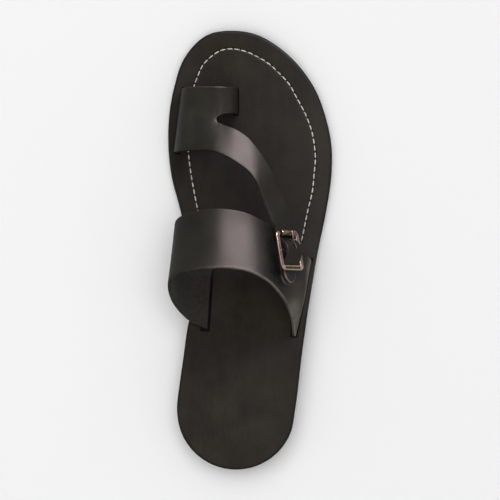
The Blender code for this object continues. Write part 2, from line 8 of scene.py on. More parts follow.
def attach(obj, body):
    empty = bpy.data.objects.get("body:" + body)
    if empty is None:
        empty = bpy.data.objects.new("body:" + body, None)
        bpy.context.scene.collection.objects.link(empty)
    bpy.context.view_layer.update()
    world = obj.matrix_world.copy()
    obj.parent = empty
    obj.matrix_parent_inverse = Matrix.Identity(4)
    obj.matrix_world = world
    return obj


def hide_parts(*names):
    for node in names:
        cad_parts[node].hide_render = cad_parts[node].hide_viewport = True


# A right slipper of black leather: straps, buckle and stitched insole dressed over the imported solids.
# Metres, +Z up, +Y to the toe, +X to the outer side of the foot.
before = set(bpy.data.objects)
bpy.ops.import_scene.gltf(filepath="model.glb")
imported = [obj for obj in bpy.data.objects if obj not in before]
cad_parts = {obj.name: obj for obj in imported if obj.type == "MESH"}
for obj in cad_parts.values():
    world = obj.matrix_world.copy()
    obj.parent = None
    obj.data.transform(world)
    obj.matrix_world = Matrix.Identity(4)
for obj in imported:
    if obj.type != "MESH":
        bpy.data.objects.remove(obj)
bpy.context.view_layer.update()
print("frame loaded:", sorted(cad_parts))

# the last that every piece is set out on; outline rows are percents: along, inner side, outer side
last = {
    "length": 0.280,
    "ballWidth": 0.1045,
    "instepHeight": 0.057,
    "toeSpring": 0.006,
    "heelHeight": 0.011,
    "outsole": 0.005,
    "insole": 0.003,
    "layerGap": 0.0003,
    "waistStart": 0.32,
    "ballStart": 0.58,
    "springStart": 0.76,
    "heelRadius": 0.0376,
    "heelAcross": -0.0089,
    "toeTip": -11.7,
    "outline": (
        (19.3, -43.0, 29.6), (24.3, -41.1, 31.0), (32.5, -38.0, 34.0), (35.7, -36.1, 35.2),
        (41.4, -35.8, 37.7), (50.0, -38.1, 41.7), (58.6, -42.3, 46.5), (67.1, -48.1, 49.8),
        (74.3, -50.0, 49.7), (81.4, -49.2, 45.4), (87.1, -46.4, 39.2), (92.9, -41.4, 27.8),
        (97.1, -33.1, 14.4), (99.3, -24.3, 2.5),
    ),
    "heelPoints": 9,
    "outlineSteps": 8,
    "stations": 70,
}

touching = 1e-6  # points this near are one place


def across(percent):
    return percent * last["ballWidth"] / 100


def along(percent):
    return (percent / 100 - 0.5) * last["length"]


def ease(share):
    share = min(max(share, 0.0), 1.0)
    return share * share * (3 - 2 * share)


def soleRise(y):
    place = y / last["length"] + 0.5
    heel = 1 - ease((place - last["waistStart"]) / (last["ballStart"] - last["waistStart"]))
    spring = max(0.0, (place - last["springStart"]) / (1 - last["springStart"]))
    return last["heelHeight"] * heel + last["toeSpring"] * spring**2


def footbed(y):
    return soleRise(y) + last["outsole"] + last["layerGap"] + last["insole"]


def onFootbed(point):
    return Vector((point.x, point.y, point.z + footbed(point.y)))


def offFootbed(point):
    return Vector((point.x, point.y, point.z - footbed(point.y)))


# a point of the centripetal curve from start to end
def smoothPoint(before, start, end, after, share):
    points = (before, start, end, after)
    knots = [0.0]
    for first, second in zip(points, points[1:]):
        knots.append(knots[-1] + max((second - first).length, touching) ** 0.5)
    place = knots[1] + (knots[2] - knots[1]) * share
    level = list(points)
    for pairs in (((0, 0, 1), (1, 1, 2), (2, 2, 3)), ((0, 0, 2), (1, 1, 3)), ((0, 1, 2),)):
        level = [
            level[i].lerp(level[i + 1], (place - knots[low]) / (knots[high] - knots[low]))
            for i, low, high in pairs
        ]
    return level[0]


def curveAt(points, row):
    index = min(max(int(math.floor(row)), 0), len(points) - 2)
    start, end = points[index], points[index + 1]
    before = points[index - 1] if index > 0 else start * 2 - end
    after = points[index + 2] if index + 2 < len(points) else end * 2 - start
    return smoothPoint(before, start, end, after, row - index)


def curveThrough(points, steps):
    return [curveAt(points, i / steps) for i in range((len(points) - 1) * steps + 1)]


def edgeRows(rows):
    return [Vector((across(a), along(b), c * last["instepHeight"] / 100)) for a, b, c in rows]


# points at even distances along a line
def evenPoints(points, pitch):
    made, carried = [points[0].copy()], 0.0
    for start, end in zip(points, points[1:]):
        run = (end - start).length
        while carried + run >= pitch:
            start = start.lerp(end, (pitch - carried) / run)
            run = (end - start).length
            carried = 0.0
            made.append(start.copy())
        carried += run
    return made


# node trees
def addNode(tree, kind, inputs=None, **settings):
    made = tree.nodes.new(kind)
    for key, value in settings.items():
        setattr(made, key, value)
    for key, value in (inputs or {}).items():
        if isinstance(value, bpy.types.NodeSocket):
            tree.links.new(value, made.inputs[key])
        else:
            made.inputs[key].default_value = value
    return made


def newGroup(name, inputs, outputs):
    tree = bpy.data.node_groups.new(name, "ShaderNodeTree")
    for label, kind, value in inputs:
        socket = tree.interface.new_socket(name=label, in_out="INPUT", socket_type=kind)
        socket.default_value = value
    for label in outputs:
        tree.interface.new_socket(name=label, in_out="OUTPUT", socket_type="NodeSocketFloat")
    return tree, tree.nodes.new("NodeGroupInput").outputs, tree.nodes.new("NodeGroupOutput").inputs


def groupIn(tree, group, values):
    return addNode(tree, "ShaderNodeGroup", values, node_tree=group).outputs


def remap(tree, value, low, high, toLow=0.0, toHigh=1.0):
    inputs = {"Value": value, "From Min": low, "From Max": high, "To Min": toLow, "To Max": toHigh}
    return addNode(tree, "ShaderNodeMapRange", inputs).outputs["Result"]


def math2(tree, operation, first, second):
    return addNode(tree, "ShaderNodeMath", {0: first, 1: second}, operation=operation).outputs[0]


def times(tree, first, second):
    return math2(tree, "MULTIPLY", first, second)


def vectorMath(tree, operation, inputs):
    return addNode(tree, "ShaderNodeVectorMath", inputs, operation=operation).outputs[0]


def objectSpot(tree):
    return addNode(tree, "ShaderNodeTexCoord").outputs["Object"]


def noiseAt(tree, vector, scale, detail, roughness=0.55):
    inputs = {"Vector": vector, "Scale": scale, "Detail": detail, "Roughness": roughness}
    return addNode(tree, "ShaderNodeTexNoise", inputs).outputs["Fac"]


def cellsAt(tree, vector, scale, feature):
    inputs = {"Vector": vector, "Scale": scale}
    return addNode(tree, "ShaderNodeTexVoronoi", inputs, feature=feature).outputs["Distance"]


def mixColour(tree, amount, first, second):
    ends = [end if isinstance(end, bpy.types.NodeSocket) else (*end, 1.0) for end in (first, second)]
    inputs = {0: amount, 6: ends[0], 7: ends[1]}
    return addNode(tree, "ShaderNodeMix", inputs, data_type="RGBA").outputs[2]


# pebbled hide: cells with soft valleys, pores and a slow change of tone, measured in cells
hideCells = {
    "warpScale": 0.45,
    "warpDetail": 2.0,
    "warp": (1.4, 1.4, 1.4),
    "fine": (2.6, 4.0),  # scale and detail, with roughness where a third number follows
    "fineHeight": 0.45,
    "poreScale": 0.8,
    "poreSize": (0.1, 0.24),
    "mottle": (0.028, 5.0, 0.6),
}


def hideGrainGroup():
    s = hideCells
    inputs = [("Scale", "NodeSocketFloat", 900.0), ("Softness", "NodeSocketFloat", 0.3)]
    tree, given, out = newGroup("hideGrain", inputs, ("Height", "Pores", "Mottle"))
    scaled = vectorMath(tree, "SCALE", {0: objectSpot(tree), "Scale": given["Scale"]})
    warp = {"Vector": scaled, "Scale": s["warpScale"], "Detail": s["warpDetail"]}
    warp = addNode(tree, "ShaderNodeTexNoise", warp).outputs["Color"]
    bent = vectorMath(tree, "MULTIPLY_ADD", {0: warp, 1: s["warp"], 2: scaled})
    pebble = remap(tree, cellsAt(tree, bent, 1.0, "DISTANCE_TO_EDGE"), 0.0, given["Softness"])
    fine = times(tree, noiseAt(tree, scaled, *s["fine"]), s["fineHeight"])
    pores = remap(tree, cellsAt(tree, bent, s["poreScale"], "F1"), *s["poreSize"], 1.0, 0.0)
    tree.links.new(math2(tree, "ADD", fine, pebble), out["Height"])
    tree.links.new(pores, out["Pores"])
    tree.links.new(noiseAt(tree, scaled, *s["mottle"]), out["Mottle"])
    return tree


# long marks across one direction, as a brush, a file or a dragged foot leaves them
dragLines = {
    "broad": (0.35, 3.0),
    "thin": (2.2, 4.0, 0.7),
    "bareAt": 0.62,
    "coverGain": 0.6,
    "softEdge": 0.5,
}


def dragMarksGroup():
    s = dragLines
    inputs = [("Stretch", "NodeSocketVector", (60.0, 900.0, 300.0)), ("Cover", "NodeSocketFloat", 0.5)]
    tree, given, out = newGroup("dragMarks", inputs, ("Mask", "Height"))
    pulled = vectorMath(tree, "MULTIPLY", {0: objectSpot(tree), 1: given["Stretch"]})
    thin = noiseAt(tree, pulled, *s["thin"])
    both = times(tree, noiseAt(tree, pulled, *s["broad"]), thin)
    edge = math2(tree, "SUBTRACT", s["bareAt"], times(tree, given["Cover"], s["coverGain"]))
    tree.links.new(remap(tree, both, times(tree, edge, s["softEdge"]), edge), out["Mask"])
    tree.links.new(thin, out["Height"])
    return tree


# smudges and settled dust: clouds broken up by a finer speckle
smudgeClouds = {
    "cloud": (1.0, 6.0, 0.62),
    "speckle": (22.0, 2.0),
    "bareAt": 0.78,
    "coverGain": 0.6,
    "softEdge": 0.25,
    "breakUp": (0.3, 0.6, 0.6, 1.0),  # from low and high, to low and high
}


def smudgeGroup():
    s = smudgeClouds
    inputs = [("Scale", "NodeSocketFloat", 40.0), ("Cover", "NodeSocketFloat", 0.4)]
    tree, given, out = newGroup("smudge", inputs, ("Mask",))
    scaled = vectorMath(tree, "SCALE", {0: objectSpot(tree), "Scale": given["Scale"]})
    low = math2(tree, "SUBTRACT", s["bareAt"], times(tree, given["Cover"], s["coverGain"]))
    high = math2(tree, "ADD", low, s["softEdge"])
    mask = remap(tree, noiseAt(tree, scaled, *s["cloud"]), low, high)
    speckle = remap(tree, noiseAt(tree, scaled, *s["speckle"]), *s["breakUp"])
    tree.links.new(times(tree, mask, speckle), out["Mask"])
    return tree


hideGrain = hideGrainGroup()
dragMarks = dragMarksGroup()
smudge = smudgeGroup()


def newMaterial(name, plain):
    made = bpy.data.materials.new(name)
    made.use_nodes = True
    shader = made.node_tree.nodes["Principled BSDF"]
    for key, value in plain.items():
        shader.inputs[key].default_value = value
    return made, made.node_tree, shader


def joinUp(tree, shader, s, colour, rough, height):
    inputs = {"Height": height, "Strength": s["bump"], "Distance": s["bumpDepth"]}
    bump = addNode(tree, "ShaderNodeBump", inputs).outputs["Normal"]
    for key, value in (("Base Color", colour), ("Roughness", rough), ("Normal", bump)):
        tree.links.new(value, shader.inputs[key])


# rubbed edges, painted light and painted shade, from the mesh's values of that name broken up a little
placeFilm = {"film": {"Scale": 260.0, "Cover": 0.8}, "breakUp": (0.0, 0.6, 0.45, 1.0)}


def placeMask(tree, name):
    values = addNode(tree, "ShaderNodeAttribute", attribute_name=name).outputs["Fac"]
    film = groupIn(tree, smudge, placeFilm["film"])
    return times(tree, values, remap(tree, film["Mask"], *placeFilm["breakUp"]))


strapFinish = {
    "plain": {"Specular IOR Level": 0.10, "Specular Tint": (1.0, 0.92, 0.80, 1.0)},
    "deep": (0.0165, 0.0159, 0.0125),
    "worn": (0.0245, 0.0235, 0.0190),
    "dust": (0.050, 0.046, 0.039),
    "dustAmount": 0.10,
    # colour of rubbed rims, also used for painted highlights along the rims and painted sheen on the
    # outer foot
    "edge": (0.268, 0.230, 0.188),
    # near black, for painted shade
    "paintedShade": (0.0045, 0.0042, 0.0034),
    "grain": {"Scale": 1500.0, "Softness": 0.35},
    "film": {"Scale": 55.0, "Cover": 0.35},
    "mottle": (0.3, 0.7),
    "roughSpread": 0.09,
    "poreRough": 0.08,
    "bump": 0.14,
    "bumpDepth": 0.00025,
}


def strapLeather(name, polish):
    s = strapFinish
    made, tree, shader = newMaterial(name, s["plain"])
    grain = groupIn(tree, hideGrain, s["grain"])
    film = groupIn(tree, smudge, s["film"])
    colour = mixColour(tree, remap(tree, grain["Mottle"], *s["mottle"]), s["deep"], s["worn"])
    colour = mixColour(tree, times(tree, film["Mask"], s["dustAmount"]), colour, s["dust"])
    # painted shade: near black where the mesh's painted-shade values say, beside the buckle
    colour = mixColour(tree, placeMask(tree, "paintedShade"), colour, s["paintedShade"])
    # lighter at rubbed rims; this also holds painted highlights along the rims and a painted warm sheen
    # on the outer foot
    colour = mixColour(tree, placeMask(tree, "rubAndPaintedLight"), colour, s["edge"])
    rough = remap(tree, grain["Mottle"], *s["mottle"], polish, polish + s["roughSpread"])
    rough = math2(tree, "ADD", rough, times(tree, grain["Pores"], s["poreRough"]))
    joinUp(tree, shader, s, colour, rough, grain["Height"])
    return made


fleshFinish = {
    "plain": {"Specular IOR Level": 0.2, "Sheen Weight": 0.12},
    "deep": (0.0180, 0.0155, 0.0122),
    "nap": (0.0300, 0.0258, 0.0203),
    "fibre": {"Scale": 2400.0, "Softness": 0.6},
    "film": {"Scale": 420.0, "Cover": 0.75},
    "mottle": (0.3, 0.7),
    "rough": (0.82, 0.95),
    "bump": 0.55,
    "bumpDepth": 0.0004,
}


def fleshSide():
    s = fleshFinish
    made, tree, shader = newMaterial("fleshSide", s["plain"])
    fibre = groupIn(tree, hideGrain, s["fibre"])
    film = groupIn(tree, smudge, s["film"])
    colour = mixColour(tree, film["Mask"], s["deep"], s["nap"])
    rough = remap(tree, fibre["Mottle"], *s["mottle"], *s["rough"])
    joinUp(tree, shader, s, colour, rough, fibre["Height"])
    return made


cutFinish = {
    "plain": {"Specular IOR Level": 0.15},
    "dye": (0.020, 0.0178, 0.0142),
    "raw": (0.052, 0.0455, 0.0370),
    "blackDye": (0.012, 0.0098, 0.0070),
    "blackRaw": (0.034, 0.025, 0.017),
    "edge": (0.260, 0.238, 0.203),
    "marks": {"Stretch": (700.0, 700.0, 1900.0), "Cover": 0.6},
    "film": {"Scale": 220.0, "Cover": 0.6},
    "rough": (0.5, 0.75),
    "bump": 0.35,
    "bumpDepth": 0.0003,
}


def cutEdge(name, dye, raw):
    s = cutFinish
    made, tree, shader = newMaterial(name, s["plain"])
    marks = groupIn(tree, dragMarks, s["marks"])
    film = groupIn(tree, smudge, s["film"])
    colour = mixColour(tree, film["Mask"], s[dye], s[raw])
    # lighter at rubbed edges, which also holds painted highlights where the edges catch light
    colour = mixColour(tree, placeMask(tree, "rubAndPaintedLight"), colour, s["edge"])
    rough = remap(tree, marks["Mask"], 0.0, 1.0, *s["rough"])
    joinUp(tree, shader, s, colour, rough, marks["Height"])
    return made


insoleFinish = {
    "plain": {"Specular IOR Level": 0.04},
    "deep": (0.0178, 0.0153, 0.0117),
    "worn": (0.0292, 0.0254, 0.0196),
    "scuff": (0.058, 0.050, 0.040),
    "scuffAmount": 0.20,
    # darker, for painted shade
    "paintedShade": (0.0080, 0.0072, 0.0058),
    "grain": {"Scale": 1500.0, "Softness": 0.5},
    "film": {"Scale": 26.0, "Cover": 0.5},
    "marks": {"Stretch": (420.0, 60.0, 200.0), "Cover": 0.35},
    "mottle": (0.32, 0.68),
    "roughMottle": (0.3, 0.7),
    "rough": (0.56, 0.70),
    "bump": 0.22,
    "bumpDepth": 0.0002,
}


def insoleLeather():
    s = insoleFinish
    made, tree, shader = newMaterial("insoleLeather", s["plain"])
    grain = groupIn(tree, hideGrain, s["grain"])
    film = groupIn(tree, smudge, s["film"])
    marks = groupIn(tree, dragMarks, s["marks"])
    paintedLight = math2(tree, "MAXIMUM", film["Mask"], marks["Mask"])
    colour = mixColour(tree, remap(tree, grain["Mottle"], *s["mottle"]), s["deep"], s["worn"])
    colour = mixColour(tree, times(tree, paintedLight, s["scuffAmount"]), colour, s["scuff"])
    # painted light: the outer rim lighter, in the scuff colour
    colour = mixColour(tree, placeMask(tree, "rubAndPaintedLight"), colour, s["scuff"])
    # painted shade: darker along the inner rim and where the straps' shadows fall
    colour = mixColour(tree, placeMask(tree, "paintedShade"), colour, s["paintedShade"])
    rough = remap(tree, grain["Mottle"], *s["roughMottle"], *s["rough"])
    joinUp(tree, shader, s, colour, rough, grain["Height"])
    return made


soleFinish = {
    "plain": {"Specular IOR Level": 0.4},
    "deep": (0.0115, 0.0108, 0.0098),
    "worn": (0.0270, 0.0240, 0.0205),
    "scuff": (0.075, 0.067, 0.058),
    "scuffAmount": 0.20,
    "grain": {"Scale": 700.0, "Softness": 0.6},
    "film": {"Scale": 30.0, "Cover": 0.55},
    "marks": {"Stretch": (26.0, 520.0, 260.0), "Cover": 0.62},
    "mottle": (0.3, 0.7),
    "rough": (0.48, 0.66),
    "brushHeight": 2.5,
    "bump": 0.25,
    "bumpDepth": 0.0003,
}


# the walking side; brush says how strongly the finishing marks run across it
def soleLeather(name, brush):
    s = soleFinish
    made, tree, shader = newMaterial(name, s["plain"])
    grain = groupIn(tree, hideGrain, s["grain"])
    film = groupIn(tree, smudge, s["film"])
    marks = groupIn(tree, dragMarks, s["marks"])
    colour = mixColour(tree, remap(tree, grain["Mottle"], *s["mottle"]), s["deep"], s["worn"])
    colour = mixColour(tree, times(tree, marks["Mask"], brush), colour, s["scuff"])
    colour = mixColour(tree, times(tree, film["Mask"], s["scuffAmount"]), colour, s["scuff"])
    rough = remap(tree, grain["Mottle"], *s["mottle"], *s["rough"])
    brushed = times(tree, marks["Height"], s["brushHeight"] * brush)
    joinUp(tree, shader, s, colour, rough, math2(tree, "ADD", grain["Height"], brushed))
    return made


rimFinish = {
    "plain": {"Specular IOR Level": 0.10},
    "dye": (0.0075, 0.0068, 0.0058),
    "layer": (0.025, 0.0212, 0.0170),
    "layerAmount": 0.6,
    "marks": {"Stretch": (120.0, 120.0, 2600.0), "Cover": 0.5},
    "film": {"Scale": 90.0, "Cover": 0.45},
    "rough": (0.40, 0.62),
    "bump": 0.3,
    "bumpDepth": 0.00025,
}


# burnished side wall of the stacked layers, with the fibres lying along it
def burnishedRim():
    s = rimFinish
    made, tree, shader = newMaterial("burnishedRim", s["plain"])
    marks = groupIn(tree, dragMarks, s["marks"])
    film = groupIn(tree, smudge, s["film"])
    colour = mixColour(tree, times(tree, marks["Mask"], s["layerAmount"]), s["dye"], s["layer"])
    rough = remap(tree, film["Mask"], 0.0, 1.0, *s["rough"])
    joinUp(tree, shader, s, colour, rough, marks["Height"])
    return made


brassFinish = {
    "plain": {"Metallic": 1.0},
    "bright": (0.37, 0.282, 0.218),
    "aged": (0.165, 0.120, 0.087),
    "tarnish": (0.045, 0.030, 0.022),
    "tarnishMarks": 0.6,
    "tarnishLeast": 0.35,
    "film": {"Scale": 420.0, "Cover": 0.55},
    "marks": {"Stretch": (900.0, 900.0, 900.0), "Cover": 0.55},
    "rough": (0.26, 0.52),
    "bump": 0.2,
    "bumpDepth": 0.0002,
}


def agedBrass(name, tarnish, gain=1.0):
    s = brassFinish
    made, tree, shader = newMaterial(name, s["plain"])
    film = groupIn(tree, smudge, s["film"])
    marks = groupIn(tree, dragMarks, s["marks"])
    bright, aged = [[channel * gain for channel in s[key]] for key in ("bright", "aged")]
    colour = mixColour(tree, film["Mask"], bright, aged)
    dark = math2(tree, "MAXIMUM", times(tree, marks["Mask"], s["tarnishMarks"]), tarnish)
    dark = times(tree, dark, min(1.0, s["tarnishLeast"] + tarnish))
    colour = mixColour(tree, dark, colour, s["tarnish"])
    rough = remap(tree, film["Mask"], 0.0, 1.0, *s["rough"])
    joinUp(tree, shader, s, colour, rough, marks["Height"])
    return made


threadFinish = {
    "plain": {"Specular IOR Level": 0.35},
    "clean": (0.72, 0.67, 0.58),
    "soiled": (0.40, 0.35, 0.28),
    "film": {"Scale": 150.0, "Cover": 0.6},
    "fibre": {"Scale": 5200.0, "Softness": 0.6},
    "rough": (0.7, 0.9),
    "bump": 0.3,
    "bumpDepth": 0.0002,
}


def waxedThread():
    s = threadFinish
    made, tree, shader = newMaterial("waxedThread", s["plain"])
    film = groupIn(tree, smudge, s["film"])
    fibre = groupIn(tree, hideGrain, s["fibre"])
    colour = mixColour(tree, film["Mask"], s["clean"], s["soiled"])
    rough = remap(tree, film["Mask"], 0.0, 1.0, *s["rough"])
    joinUp(tree, shader, s, colour, rough, fibre["Height"])
    return made


instepSkin = strapLeather("instepLeather", polish=0.36)
toeSkin = strapLeather("toeStrapLeather", polish=0.29)
strapFlesh = fleshSide()
strapCut = cutEdge("cutEdge", "dye", "raw")
blackCut = cutEdge("blackenedEdge", "blackDye", "blackRaw")
insoleSkin = insoleLeather()
outsoleSkin = soleLeather("outsoleLeather", brush=0.12)
heelSkin = soleLeather("heelLeather", brush=0.55)
rimSkin = burnishedRim()
brassSkin = agedBrass("agedBrass", tarnish=0.0)
brassDark = agedBrass("tarnishedBrass", tarnish=0.45)
brassWorn = agedBrass("wornBrass", tarnish=0.78)
brassGroove = agedBrass("blackenedBrass", tarnish=0.85)
# a brighter copy of the brass, painted light for the heel end bar
brassPaintedBright = agedBrass("brightenedBrassCopy", tarnish=0.0, gain=2.0)
threadSkin = waxedThread()
print("finishes made:", len(bpy.data.materials))


# pieces
def newPiece(bm, name, finishes, smoothAngle=None):
    mesh = bpy.data.meshes.new(name)
    for face in bm.faces:
        face.smooth = True
    bm.to_mesh(mesh)
    bm.free()
    if smoothAngle is not None:
        mesh.set_sharp_from_angle(angle=math.radians(smoothAngle))
    for finish in finishes:
        mesh.materials.append(finish)
    piece = bpy.data.objects.new(name, mesh)
    bpy.context.scene.collection.objects.link(piece)
    return piece


# the piece's modifiers become its mesh
def settle(piece):
    graph = bpy.context.evaluated_depsgraph_get()
    mesh = bpy.data.meshes.new_from_object(piece.evaluated_get(graph))
    old = piece.data
    piece.modifiers.clear()
    piece.data = mesh
    bpy.data.meshes.remove(old)
    mesh.name = piece.name
    return piece


def cutterBlock(size):
    bm = bmesh.new()
    bmesh.ops.create_cube(bm, size=1.0)
    bmesh.ops.scale(bm, vec=size, verts=bm.verts[:])
    return bm


def cutOut(piece, cutterMesh, place):
    cutter = newPiece(cutterMesh, "cutter", ())
    cutter.matrix_world = place
    bpy.context.view_layer.update()
    hole = piece.modifiers.new("hole", "BOOLEAN")
    hole.operation = "DIFFERENCE"
    hole.solver = "EXACT"
    hole.object = cutter
    settle(piece)
    bpy.data.objects.remove(cutter)


def rideRoot(piece, slotName, *nodes):
    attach(piece, "root")
    if nodes:
        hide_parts(*nodes)
    print("piece ready:", piece.name, len(piece.data.polygons), "faces")
    return piece


def everything(bm):
    return bm.verts[:] + bm.edges[:] + bm.faces[:]


def roundEdges(bm, edges, radius, segments=3):
    bmesh.ops.bevel(
        bm, geom=edges, offset=radius, segments=segments, profile=0.5, affect="EDGES", material=-1
    )


def treeOf(points):
    made = kdtree.KDTree(len(points))
    for i, point in enumerate(points):
        made.insert(point, i)
    made.balance()
    return made


# 1 at no distance, and near 0 well past the reach
def fade(distance, reach, power=2):
    return math.exp(-((distance / reach) ** power))


# how much of the listed lines' effect reaches a point: from, to, width in millimetres, and how much
def fromLines(point, lines):
    spot = Vector((point.x, point.y)) * 1000
    total = 0.0
    for x0, y0, x1, y1, width, most in lines:
        start, end = Vector((x0, y0)), Vector((x1, y1))
        share = min(max((spot - start).dot(end - start) / (end - start).length_squared, 0.0), 1.0)
        total += most * fade((spot - start.lerp(end, share)).length, width)
    return total


def setValues(piece, name, values):
    piece.data.attributes.new(name, "FLOAT", "POINT").data.foreach_set("value", values)


def setFromLines(piece, name, lines):
    setValues(piece, name, [fromLines(vert.co, lines) for vert in piece.data.vertices])


# sole layers
def soleOutline(inset):
    outer = [Vector((across(row[2]), along(row[0]))) for row in last["outline"]]
    inner = [Vector((across(row[1]), along(row[0]))) for row in reversed(last["outline"])]
    centre = Vector((last["heelAcross"], last["heelRadius"] - last["length"] / 2))
    ring = outer + [Vector((across(last["toeTip"]), along(100)))] + inner
    for i in range(last["heelPoints"]):
        angle = math.pi + math.pi * i / (last["heelPoints"] - 1)
        ring.append(centre + last["heelRadius"] * Vector((math.cos(angle), math.sin(angle))))
    points, steps = [], last["outlineSteps"]
    for i, start in enumerate(ring):
        end, after = ring[(i + 1) % len(ring)], ring[(i + 2) % len(ring)]
        points += [smoothPoint(ring[i - 1], start, end, after, step / steps) for step in range(steps)]
    moved = []
    for i, point in enumerate(points):
        run = (points[(i + 1) % len(points)] - points[i - 1]).normalized()
        moved.append(point + inset * Vector((-run.y, run.x)))
    return moved


def plate(outline, bottom, top):
    bm = bmesh.new()
    ring = bmesh.ops.create_circle(bm, cap_ends=True, segments=len(outline), radius=1.0)["verts"]
    for vert, point in zip(ring, outline):
        vert.co = (point.x, point.y, bottom)
    raised = bmesh.ops.extrude_face_region(bm, geom=bm.faces[:])["geom"]
    verts = [item for item in raised if isinstance(item, bmesh.types.BMVert)]
    bmesh.ops.translate(bm, verts=verts, vec=(0, 0, top - bottom))
    bmesh.ops.recalc_face_normals(bm, faces=bm.faces[:])
    return bm


def edgesAt(bm, height):
    return [edge for edge in bm.edges if all(abs(vert.co.z - height) < touching for vert in edge.verts)]


def cutAcross(bm, spots, direction):
    for spot in spots:
        bmesh.ops.bisect_plane(
            bm, geom=everything(bm), dist=touching, plane_co=spot, plane_no=direction
        )


def stationCuts(bm):
    count = last["stations"]
    cutAcross(bm, [(0, along(100 * i / count), 0) for i in range(1, count)], (0, 1, 0))


def liftToLast(bm):
    for vert in bm.verts:
        vert.co.z += soleRise(vert.co.y)


# walls take the second finish
def finishWalls(bm, steep=0.9):
    bm.normal_update()
    for face in bm.faces:
        face.material_index = 1 if abs(face.normal.z) < steep else 0


def keepFlat(piece):
    piece.modifiers.new("faceNormals", "WEIGHTED_NORMAL").keep_sharp = True
    return settle(piece)


outsole = {"rimRadius": 0.0009, "topRadius": 0.0004, "topSteps": 2}


def makeOutsole():
    s = outsole
    bm = plate(soleOutline(0.0), 0.0, last["outsole"])
    roundEdges(bm, edgesAt(bm, 0.0), s["rimRadius"])
    roundEdges(bm, edgesAt(bm, last["outsole"]), s["topRadius"], s["topSteps"])
    stationCuts(bm)
    liftToLast(bm)
    finishWalls(bm)
    for face in bm.faces:
        face.material_index = 1 if face.normal.z > 0 else face.material_index
    piece = keepFlat(newPiece(bm, "outsoleLayer", (outsoleSkin, rimSkin)))
    return rideRoot(piece, "sole_leather", "outsole")


# the breast is a lift's front, skived to a slope and skewed across the heel
heel = {
    "inset": 0.0005,
    "lower": 0.005,
    "upperBreast": 0.0835,
    "lowerBreast": 0.059,
    "breastRun": 0.0075,
    "breastSkew": math.radians(4),
    "rimRadius": 0.0006,
    "wallSteep": 0.3,
}


def makeLift(name, node, bottom, top, breast):
    bm = plate(soleOutline(heel["inset"]), bottom, top)
    slope = Vector((0, top - bottom, -heel["breastRun"])).normalized()
    slope = Matrix.Rotation(-heel["breastSkew"], 3, "Z") @ slope
    middle = (last["heelAcross"], breast - last["length"] / 2, top)
    cut = bmesh.ops.bisect_plane(
        bm, geom=everything(bm), dist=touching, plane_co=middle, plane_no=slope, clear_outer=True
    )
    rim = [item for item in cut["geom_cut"] if isinstance(item, bmesh.types.BMEdge)]
    front = bmesh.ops.contextual_create(bm, geom=rim)["faces"]
    bmesh.ops.recalc_face_normals(bm, faces=bm.faces[:])
    lip = [edge for face in front for edge in face.edges]
    around = [edge for edge in edgesAt(bm, bottom) if edge not in lip]
    roundEdges(bm, around + lip, heel["rimRadius"])
    finishWalls(bm, heel["wallSteep"])
    piece = keepFlat(newPiece(bm, name, (heelSkin, rimSkin)))
    return rideRoot(piece, "sole_leather", node)


def makeHeel():
    s, gap = heel, last["layerGap"]
    split, top = s["lower"] + gap / 2, last["heelHeight"] - gap
    makeLift("heelLiftUpper", "heel_lift_upper", split, top, s["upperBreast"])
    makeLift("heelLiftLower", "heel_lift_lower", 0.0, s["lower"] - gap / 2, s["lowerBreast"])


# one row of thread round the forefoot, in millimetres from the middle of the shoe
stitching = {
    "path": (
        (-30.6, 13.0), (-33.4, 25.6), (-36.3, 40.4), (-37.8, 49.2), (-39.4, 62.8), (-39.7, 76.0),
        (-38.6, 90.0), (-35.8, 104.4), (-33.4, 110.8), (-30.2, 118.0), (-24.6, 123.6), (-18.2, 127.6),
        (-11.0, 128.4), (-3.0, 126.8), (4.2, 123.6), (12.2, 118.8), (18.6, 112.8), (25.0, 106.0),
        (29.8, 97.2), (35.4, 86.8), (39.4, 76.0), (41.0, 67.6), (41.8, 58.8), (41.0, 49.2),
        (39.8, 37.2), (37.0, 25.6), (34.6, 14.0), (32.2, 3.2),
    ),
    "steps": 12,
    "pitch": 0.0045,
    "stitchLength": 0.0037,
    "threadRadius": 0.00038,
    "sides": 8,
    "rings": 9,
    "bluntness": 5,
    "flatness": 0.75,
    "sink": 0.00012,
    "dive": 0.0007,
    "diveBend": 7,
    "plies": 2,
    "twist": 2.6,
    "ply": 0.16,
}


def stitchHoles():
    line = [Vector((x / 1000, y / 1000, 0)) for x, y in stitching["path"]]
    return evenPoints(curveThrough(line, stitching["steps"]), stitching["pitch"])


def makeStitches():
    s = stitching
    holes = stitchHoles()
    bm = bmesh.new()
    for start, end in zip(holes, holes[1:]):
        run = (end - start).normalized()
        side = Vector((-run.y, run.x, 0))
        middle = (start + end) / 2
        ball = bmesh.ops.create_uvsphere(bm, u_segments=s["sides"], v_segments=s["rings"], radius=1.0)
        for vert in ball["verts"]:
            share = vert.co.z
            turn = math.atan2(vert.co.y, vert.co.x)
            girth = math.sqrt(max(0.0, 1 - abs(share) ** s["bluntness"]))
            swell = 1 + s["ply"] * math.cos(s["plies"] * (turn - s["twist"] * share))
            radius = s["threadRadius"] * girth * swell
            spot = middle + run * share * s["stitchLength"] / 2 + side * radius * math.cos(turn)
            sunk = s["sink"] + s["dive"] * abs(share) ** s["diveBend"]
            lift = radius * s["flatness"] * math.sin(turn) - sunk
            vert.co = (spot.x, spot.y, footbed(spot.y) + lift)
    bmesh.ops.recalc_face_normals(bm, faces=bm.faces[:])
    return rideRoot(newPiece(bm, "forefootStitching", (threadSkin,)), None)


